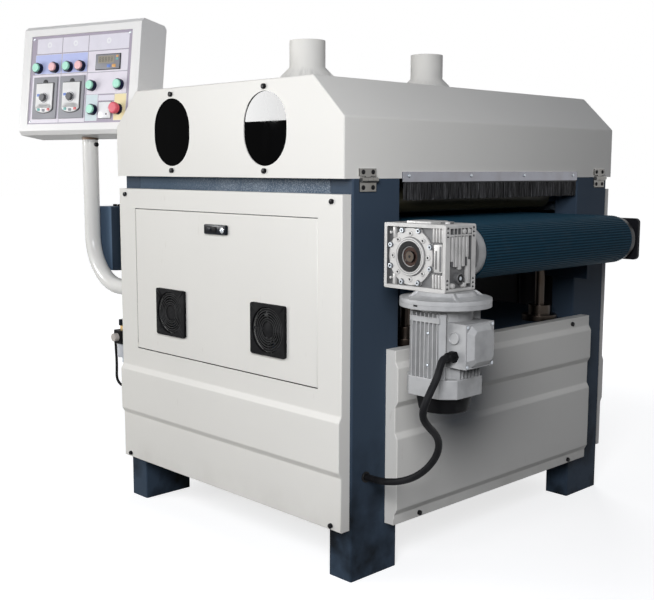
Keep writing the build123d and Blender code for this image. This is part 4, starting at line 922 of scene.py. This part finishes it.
# Dressed parts: node, finish, radius of its edges or folds, which folds, least angle
for row in (
    ("front_panel", sheet_finish(1), 2.2, front_fold),
    ("rear_panel", sheet_finish(1), 2.2, rear_fold),
    ("end_panels", sheet_finish(0), 2.2, end_fold),
    ("cabinet_door", cream_paint, 3, door_fold),
    ("hood_cover", hood_finish, 4, hood_fold),
    ("frame_posts", navy_paint, 4, tube_fold),
    ("base_deck", navy_paint, 1),
    ("side_rails", rail_paint, 3, tube_fold),
    ("tracking_cover", cover_painted_light_and_shade, 1.2),
    ("console_box", console_paint, 2, None, 25),
    ("console_arm", arm_paint),
    ("dust_ports", cream_paint, 0.6),
    ("roller_brackets", black_paint, 1),
    ("conveyor_bed", navy_paint, 1),
    ("hold_down_arms", navy_paint, 1.5),
    ("curtain_holders", strip_metal, 0.5),
    ("hinge_frame_leaves", hinge_steel, 0.6),
    ("hinge_hood_leaves", hinge_steel, 0.6),
    ("hood_windows", window_black, 0.5),
    ("lift_columns", column_steel, 0.8),
    ("lift_flanges", column_steel, 1.5),
    ("brush_bearings", iron_grey, 2),
    ("motor_pulley_infeed", iron_grey, 0.6),
    ("motor_pulley_outfeed", iron_grey, 0.6),
    ("motor_adapter", alloy_smooth, 1),
    ("motor_housing", alloy_spray, 0.5),
    ("terminal_box", alloy_spray, 1.6, None, 25),
    ("fan_cover", alloy_spray, 2),
    ("fan_cowl", black_plastic, 1.5),
    ("cable_gland", black_plastic, 0.8),
    ("brush_drives", brush_drive_finish, 1.5),
    ("gearbox_housing", gearbox_finish, 1),
    ("gearbox_cover", gearbox_cover_finish, 0.7),
    ("drive_roller", roller_finish, 0.8),
    ("idler_roller", roller_finish, 0.8),
    ("hold_down_infeed", hold_down_finish, 1),
    ("hold_down_outfeed", hold_down_finish, 1),
    ("air_regulator", regulator_finish, 1),
    ("fan_rotor_left", black_plastic, 0.4),
    ("fan_rotor_right", black_plastic, 0.4),
):
    dressed(*row)


# Gearbox details


def in_pocket(across, up, rise=0):
    return facing(roller_x + across, gear_front_y + 9 - rise, roller_z + up, front)


def on_side(y, up, rise=0):
    return facing(gear_side_x - 9 + rise, y, roller_z + up, right_side)


# Rings and bolts about the shaft: outer and inner radius, depth and edge of a ring, its rise
piece = Piece("gearbox_details")
face = facing(roller_x, gear_front_y + 1, roller_z, front)
# The darker casting rings are painted shade in the grooves round the shaft
for finish, ring, rise in (
    # The wide rubber ring is the shaft seal; the thin dark ring round the shaft is painted shade in
    # the gap
    (seal_rubber_and_painted_shade, (33.4, 22.4, 2.2, 0.5), -2.6), (alloy, (41.2, 34, 0.5, 0.2), 0),
    (alloy_painted_shade, (38, 36.8, 0.2), 0.4), (alloy_painted_shade, (43.4, 41, 0.3), -4.1),
    (seal_rubber_and_painted_shade, (12.8, 11.4, 0.3), -1),
):
    piece.add(finish, collar(*ring), face @ shift(0, 0, rise))
# Dark discs at the shaft's middle, in the bolt bosses and in the bolt heads: painted shade in holes
# and sockets
piece.add(seal_rubber_and_painted_shade, drum(3.2, 0.3, 0, 20), face @ shift(0, 0, -1))
bolts = 8
for index in range(bolts):
    boss = face @ about("Z", index * full_turn / bolts) @ shift(50, 0, -4)
    piece.add(alloy, collar(5.6, 2.5, 2.4, 0.6, 24), boss)
    piece.add(seal_rubber_and_painted_shade, drum(2.6, 1, 0, 16), boss)
    head = face @ about("Z", (index + 0.5) * full_turn / bolts)
    piece.add(seal_rubber_and_painted_shade, drum(2.7, 0.3, 0, 6), head @ shift(61, 0, -0.1))
    piece.add(alloy_painted_shade, collar(7, 5, 0.3, 0, 24), head @ shift(61, 0, -4.1))

# Ribs and pads in the front pockets
for side in both_sides:
    for index in range(4):
        piece.add(alloy, slab(4.6, 29, 7, 1), in_pocket(66.5 + index * 8, side * 49))
    piece.add(alloy, drum(3.2, 5, 1, 20), in_pocket(-57.5, side * 50))
    piece.add(alloy, slab(7, 24, 8, 1.5), in_pocket(-44, side * 51.5))
piece.add(alloy, plate(22, 60, 6.5, 3, 1.2), in_pocket(79, 0))
# Thin darker strips on the pad: painted shade in its grooves
piece.add(alloy_painted_shade, plate(5, 40, 0.3, 2), in_pocket(74.5, -3, 6.4))
piece.add(alloy_painted_shade, plate(5.5, 54, 0.3, 2), in_pocket(86, 0, 6.4))

# Ribs, bosses and plug of the side, and the pad on top
rib_top, plug = 46, (motor_y, -43)
for index, low in enumerate((-6, -18, -24, -18, 2)):
    rib = slab(7.4, rib_top - low, 8.6, 1)
    piece.add(alloy, rib, on_side(-489 + index * 12, (rib_top + low) / 2))
piece.add(alloy, slab(72, 4, 8.8, 1), on_side(motor_y, 49))
piece.add(alloy, slab(10, 52, 8.8, 1), on_side(-436, -30))
for y, up in ((-452, 57), (-436, 57), (-488, -58), (-450, -58)):
    piece.add(alloy, drum(5.5, 10, 1.5, 24), on_side(y, up))
# Darker collar round the side plug: painted shade
piece.add(alloy_painted_shade, collar(12, 9, 9.6, 1), on_side(*plug))
piece.add(seal_rubber_and_painted_shade, collar(8.8, 5, 1.8, 0.5, 24), on_side(*plug, 9))
piece.add(zinc, drum(4.6, 1, 0.3, 6), on_side(*plug, 9))
piece.add(alloy, plate(70, 60, 4.5, 3, 1.2), at(roller_x + 8, motor_y, roller_z + 72))
piece.done("table", slot_of["gearbox_housing"])


# Feed belt


def loop_place(distance):
    """Placement on the belt's outer face at a distance along its loop."""
    straight = 2 * roller_x
    half, way = divmod(distance, straight + math.pi * belt_radius)
    x, z, turn = way - roller_x, belt_radius, 0
    if way > straight:
        turn = (way - straight) / belt_radius
        x, z = roller_x + belt_radius * math.sin(turn), belt_radius * math.cos(turn)
    return at(0, 0, roller_z) @ about("Y", half * math.pi) @ shift(x, 0, z) @ about("Y", turn)


# Rubber belt with cross ribs all round its outer face; between the ribs it takes a darker copy of
# the rib colour as painted shade
piece = Piece("feed_belt")
piece.add(belt_groove_painted_shade, model_mesh("conveyor_belt"))
length = 4 * roller_x + full_turn * belt_radius
count = round(length / rib_pitch)
for index in range(count):
    rib = slab(rib_width, 2 * belt_half, rib_height + rib_sunk)
    crown = [v for v in rib.verts if v.co.z > 0.5 * rib_height * mm]
    bmesh.ops.scale(rib, vec=(0.72, 1, 1), verts=crown)
    piece.add(belt_teal, rib, loop_place(index * length / count) @ shift(0, 0, -rib_sunk))
piece.instead_of("conveyor_belt")


# Strip brushes under the hood


def make_curtain(node, side):
    """Row of stiff strands with uneven tips, rooted in a thin bar."""
    piece = Piece(node + "_strands")
    middle_x, root_height, count = side * bristle_middle, 3, 900
    root = slab(3.4, 2 * bristle_half, root_height, 0.4)
    piece.add(curtain_black, root, at(middle_x, 0, strip_bottom - root_height))
    for index in range(count):
        length = bristle_length - chance.uniform(0, 3.5)
        y = (index + chance.random()) / count * 2 * bristle_half - bristle_half
        x = middle_x + chance.uniform(-0.9, 0.9)
        sway = about("X", chance.gauss(0, 0.016)) @ about("Y", chance.gauss(0, 0.012))
        spin = about("Z", chance.uniform(0, full_turn))
        hang = at(x, y, strip_bottom) @ sway @ shift(0, 0, -length / 2)
        piece.add(curtain_black, cone(0.7, 1, length, 3), hang @ spin)
    piece.instead_of(node)


make_curtain("curtain_bristles_infeed", -1)
make_curtain("curtain_bristles_outfeed", 1)


# Sanding brushes


def along_y(x, y):
    """Placement with a shape's axis along +Y at the brushes' height."""
    return at(x, y, brush_z) @ about("X", -quarter_turn)


def make_brush(node, x):
    """Steel drum with rows of bristle tufts, each row backed by slit abrasive cloth."""
    piece = Piece(node + "_drum")
    core, tip, length = 88, 150, 2 * brush_half
    rim, groove, wheel_width = 55, 52, 16
    shell = turned([(0, 0), (core - 2, 0), (core, 2), (core, length - 2), (core - 2, length),
                    (0, length)], 64)
    piece.add(plain_steel, shell, along_y(x, -brush_half))
    piece.add(plain_steel, drum(20, 1079, 1.5), along_y(x, -522))
    wheel = turned([(0, 0), (rim, 0), (rim, 1.7), (groove, 2.4), (groove, 13.6), (rim, 14.3),
                    (rim, wheel_width), (0, wheel_width)], 48)
    piece.add(iron_grey, wheel, along_y(x, 541))
    rows, tufts = 24, 44
    pitch = length / tufts
    for row in range(rows):
        around = at(x, 0, brush_z) @ about("Y", row * full_turn / rows)
        piece.add(strip_metal, slab(9, length, 4, 0.8, 1), around @ shift(0, 0, core - 0.5))
        for index in range(tufts):
            y = (index + 0.5) * pitch - length / 2
            reach = tip - core - chance.uniform(0, 4)
            lean = about("Y", chance.gauss(0, 0.03))
            stem = around @ shift(0.8, y, core) @ lean @ shift(0, 0, reach / 2)
            piece.add(brush_tan, cone(2.6, 5.6, reach, 6), stem)
            slope = about("Y", -0.05 + chance.gauss(0, 0.02))
            cloth = slab(0.9, pitch * 0.86, reach - 3)
            piece.add(abrasive, cloth, around @ shift(-3.4, y, core + 1) @ slope)
    piece.instead_of(node)


make_brush("brush_infeed", -brush_x)
make_brush("brush_outfeed", brush_x)


# Fan guards with fine rings between their spokes, lighter than the black frame as painted sheen
piece = Piece("fan_guard_set")
piece.add(black_plastic, model_mesh("fan_guards"))
for side in both_sides:
    place = facing(side * fan_x, front_face, fan_z, front)
    for index in range(6):
        radius = guard_hub + (index + 0.6) * (guard_bore - guard_hub) / 6.2
        piece.add(guard_rings_painted_sheen, hoop(radius, 0.9), place @ shift(0, 0, 4.6))
piece.instead_of("fan_guards")


# Swing lever lock with its grip, key barrel and cam
piece = Piece("door_lock_lever")
face = facing(0, front_face - hair, lock_z, front)
for finish, shape, across, rise in (
    (black_gloss, plate(2 * lock_half, 25, 8, 4, 1.3), 0, 0),
    (black_plastic, plate(48, 15, 2.2, 3, 0.9), -16, 8),
    (black_gloss, plate(20, 9, 2, 4, 0.8), -20, 10),
    (chrome, collar(8.2, 5.6, 2.4, 0.6), lock_pivot, 7.9),
    (zinc, drum(5.6, 1.6, 0.4), lock_pivot, 7.9),
    # Dark slot in the key barrel: painted shade in the keyway
    (seal_rubber_and_painted_shade, slab(1.2, 6, 0.3), lock_pivot, 9.4),
):
    piece.add(finish, shape, face @ shift(across, 0, rise))
back = facing(lock_pivot, front_face - hair, lock_z, rear)
piece.add(zinc, drum(5, 9, 0.5), back @ shift(0, 0, -0.5))
piece.add(zinc, plate(12, 32, 3, 2.5, 0.5), back @ shift(0, 10, 2.6))
piece.instead_of("door_lock")


# Operator console

console_frame = (
    at(arm_x, arm_y, console_z) @ about("Z", math.radians(console_turn))
    @ shift(console_offset, 0, 0) @ about("X", math.radians(-console_tilt))
)

# Printed fields on the plate: finish, then left, right, low and high
printed_fields = [
    (foil_card, -177, -76, 82, 126), (foil_card, -71, 30, 82, 126), (foil_card, 35, 187, 82, 126),
    (foil_blue, -181, -75, 19, 77), (foil_blue, -71, 31, 19, 77),
    (foil_pale, 35, 187, 17, 77), (foil_pale, 35, 187, -49, 13),
    (foil_pale, -189, -75, -131, 15), (foil_pale, -71, 31, -131, 15),
    (foil_teal, 35, 80, -129, -52), (foil_card, 84, 143, -69, -55),
    (foil_yellow, 146, 190, -129, -52),
]
film_depth, print_depth, border = 0.2, 0.15, 1.6
keypads = ((-130.5, -56), (-21.5, -56))
display, meter = (113.5, 44), (111.5, -99)


def on_plate(across, up, rise=0):
    """Placement on the console plate, local Z towards the operator."""
    face = console_frame @ shift(across, plate_face, up)
    return face @ about("X", quarter_turn) @ shift(0, 0, rise)


def control_plate_finish(face):
    local = (console_frame.inverted() @ face.calc_center_median()) * per_metre
    if plate_face - local.y < 0.05:
        return foil_lilac
    for finish, (across, up), half_width, half_height in (
        (keypad_grey, keypads[0], 51, 66), (keypad_grey, keypads[1], 51, 66),
        (keypad_dark, display, 50, 26), (meter_white, meter, 26, 26),
    ):
        if abs(local.x - across) < half_width and abs(local.z - up) < half_height:
            return finish
    return bezel_dark


def seven_bars(across, up, width, height):
    """Rows for the bars of one plain figure."""
    bar, half, quarter = height * 0.09, height / 2, height / 4
    bars = [(across, up + dy, width * 0.8, bar) for dy in (0, half, -half)]
    bars += [(across + dx, up + dy, bar, height * 0.42)
             for dy in (quarter, -quarter) for dx in (-width / 2, width / 2)]
    return [(lcd_ink, slab(wide, tall, 0.1), x, y, 4.12) for x, y, wide, tall in bars]


def keypad_face(width, height, depth):
    """Plate with a straight top and a bowed lower end."""
    bm = drum(width / 2, depth, depth * 0.3, 40)
    bmesh.ops.scale(bm, vec=(1, 0.42, 1), verts=bm.verts)
    move(bm, 0, -height * 0.32, 0)
    upper = slab(width, height * 0.82, depth)
    move(upper, 0, height * 0.09, 0)
    merge(bm, upper)
    return bm


def keypad_rows():
    """Shadow, face, lamp, dial and keys of a keypad."""
    keys = ((key_red, 20, -36), (keypad_grey, 0, -39), (key_teal, -20, -36), (key_blue, -24, 8))
    return [
        (keypad_dark, keypad_face(73, 96, 0.8), 2, -2, 5),
        (keypad_white, keypad_face(68, 91, 2.6), 0, -2, 5.2),
        (keypad_dark, drum(10, 0.9, 0.2), 1, 46, 5),
        (keypad_grey, collar(15, 12.5, 0.3), 0, 0, 7.8),
        *((finish, plate(12, 8, 0.7, 2, 0.3), dx, dy, 7.7) for finish, dx, dy in keys),
    ]


dressed("control_plate", control_plate_finish, 0.5)

# Printed film of the plate, with its fields and corner screws
film = plate(2 * (plate_half_width - 1.5), 2 * (plate_half_height - 1.5), film_depth, 2)
piece = Piece("console_film")
piece.add(foil_lilac, film, on_plate(0, 0))
for finish, left, right, low, high in printed_fields:
    middle = ((left + right) / 2, (low + high) / 2)
    wide, tall = right - left, high - low
    rim = slab(wide + border, tall + border, print_depth)
    piece.add(foil_line, rim, on_plate(*middle, film_depth))
    piece.add(finish, slab(wide, tall, print_depth), on_plate(*middle, film_depth + 0.12))
for across in (-126.5, -20.5, 111):
    piece.add(foil_line, collar(9, 3.5, print_depth), on_plate(across, 107, 0.5))
for across, up in product(pair(191), pair(127)):
    piece.add(zinc, pan_screw(3.6, 2), on_plate(across, up, film_depth))
piece.done("console", slot_of["control_plate"])

# Keypads, display glass with plain figures and keys, and the meter's face
display_rows = [
    (keypad_grey, plate(91, 43, 0.8, 2, 0.4), 0, 0, 3),
    (lcd_brown, slab(62, 22, 0.3), -6, 7, 3.8),
    *(bar for index in range(5) for bar in seven_bars(index * 11 - 29, 7, 5, 12)),
    (key_blue, plate(13, 9, 1, 1.5, 0.3), 5, -13, 3.8),
    (key_orange, plate(13, 9, 1, 1.5, 0.3), 25, -13, 3.8),
    (key_orange, plate(8, 6, 0.8, 1.2, 0.3), 36, 15, 3.8),
    (key_teal, plate(8, 6, 0.8, 1.2, 0.3), 36, 7, 3.8),
]
meter_rows = [
    (keypad_dark, plate(51, 51, 1.2, 2), 0, 0, 0.5),
    (meter_white, plate(45, 45, 1.4, 2, 0.6), 0, 0, 3),
    (keypad_dark, drum(2.6, 0.5, 0.1), 9, -12, 4.4),
]
piece = Piece("console_details")
for (across, up), rows in ((keypads[0], keypad_rows()), (keypads[1], keypad_rows()),
                           (display, display_rows), (meter, meter_rows)):
    for finish, shape, dx, dy, rise in rows:
        piece.add(finish, shape, on_plate(across + dx, up + dy, rise))
piece.done("console", slot_of["control_plate"])

# Buttons and knobs
for node, finish in {
    "brush_1_start": green_cap, "brush_1_stop": rose_cap, "brush_2_start": green_cap,
    "brush_2_stop": rose_cap, "table_up_button": green_cap, "table_down_button": green_cap,
    "feed_start": green_cap, "e_stop": stop_red, "brush_1_speed": knob_dark,
    "brush_2_speed": knob_dark,
}.items():
    dressed(node, finish, 0.8)


# Fasteners: name, body, kind of head, its radius and height, outward normal, then the places
# along X, Y and Z

panel_screw, hinge_screw = (6, 6), (5.6, 2.6)
panel_x, panel_z = pair(421), (895, 137)
hinge_face = [post_out_x + 4]
hinge_places = [y + dy for y in pair(hinge_y) for dy in pair(16)]
cover_low, cover_high = [(corner - home) * per_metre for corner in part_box("tracking_cover")]

fasten("window_screws", "hood", socket_screw, (6.4, 7), front,
       pair(window_x), [-hood_y], (1162.5, 962.5))
fasten("front_panel_screws", "base", socket_screw, panel_screw, front,
       panel_x, [front_face], panel_z)
fasten("rear_panel_screws", "base", socket_screw, panel_screw, rear,
       panel_x, [-front_face], panel_z)
fasten("end_panel_screws", "base", socket_screw, panel_screw, None,
       pair(end_face), pair(330), (529, 130))
fasten("strip_screws", "hood", pan_screw, (4.6, 2.6), None,
       pair(strip_face), (-352, -115, 115, 352), [952], bright=True)
fasten("hinge_hood_screws", "hood", pan_screw, hinge_screw, right_side,
       hinge_face, hinge_places, [961])
fasten("hinge_frame_screws", "base", pan_screw, hinge_screw, right_side,
       hinge_face, hinge_places, [926])
fasten("lid_screws", "table", pan_screw, (4, 2.4), right_side,
       [lid_rim_x], pair(42, motor_y), pair(42, box_z), bright=True)
fasten("motor_screws", "table", pan_screw, (3.4, 2.4), front,
       [motor_x + 10.5], [motor_y - 70], (554, 623), bright=True)
fasten("arm_screw", "base", socket_screw, (6.5, 8), (0.98, 0.19, 0),
       [arm_x + 23.4], [arm_y + 4.6], [1040])
fasten("tracking_bolts", "table", socket_screw, (6.5, 7), upward,
       (-690, -665), [cover_low.y + 34], [cover_high.z])
fasten("bracket_bolts", "table", hex_bolt, (8, 6), rear, pair(650), [bracket_y], pair(38, roller_z))


# Small fittings
rim_y = (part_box("motor_adapter")[0] - home).y * per_metre
for name, finish, shape, place, body, slot in (
    ("cable_grommet", seal_rubber_and_painted_shade, collar(13, 8.2, 4, 1.2),
     facing(post_out_x, -490, 248, right_side), "base", "black_plastic"),
    ("knockout_rim", alloy_spray, collar(13.4, 10.6, 5, 0.8),
     facing(gland_x, box_front, box_z + 17, front), "table", slot_of["terminal_box"]),
    ("arm_ring", rust, collar(25, 23.9, 8, 0.5), at(arm_x, arm_y, arm_top + 5),
     "console", "ground_steel"),
    # Dark bar in the motor flange: painted shade in its slot
    ("flange_slot_painted_shade", seal_rubber_and_painted_shade, slab(11, 4, 1.4),
     facing(motor_x, rim_y + 1.2, flange_slot_z, front), "table", slot_of["motor_adapter"]),
):
    piece = Piece(name)
    piece.add(finish, shape, place)
    piece.done(body, slot)
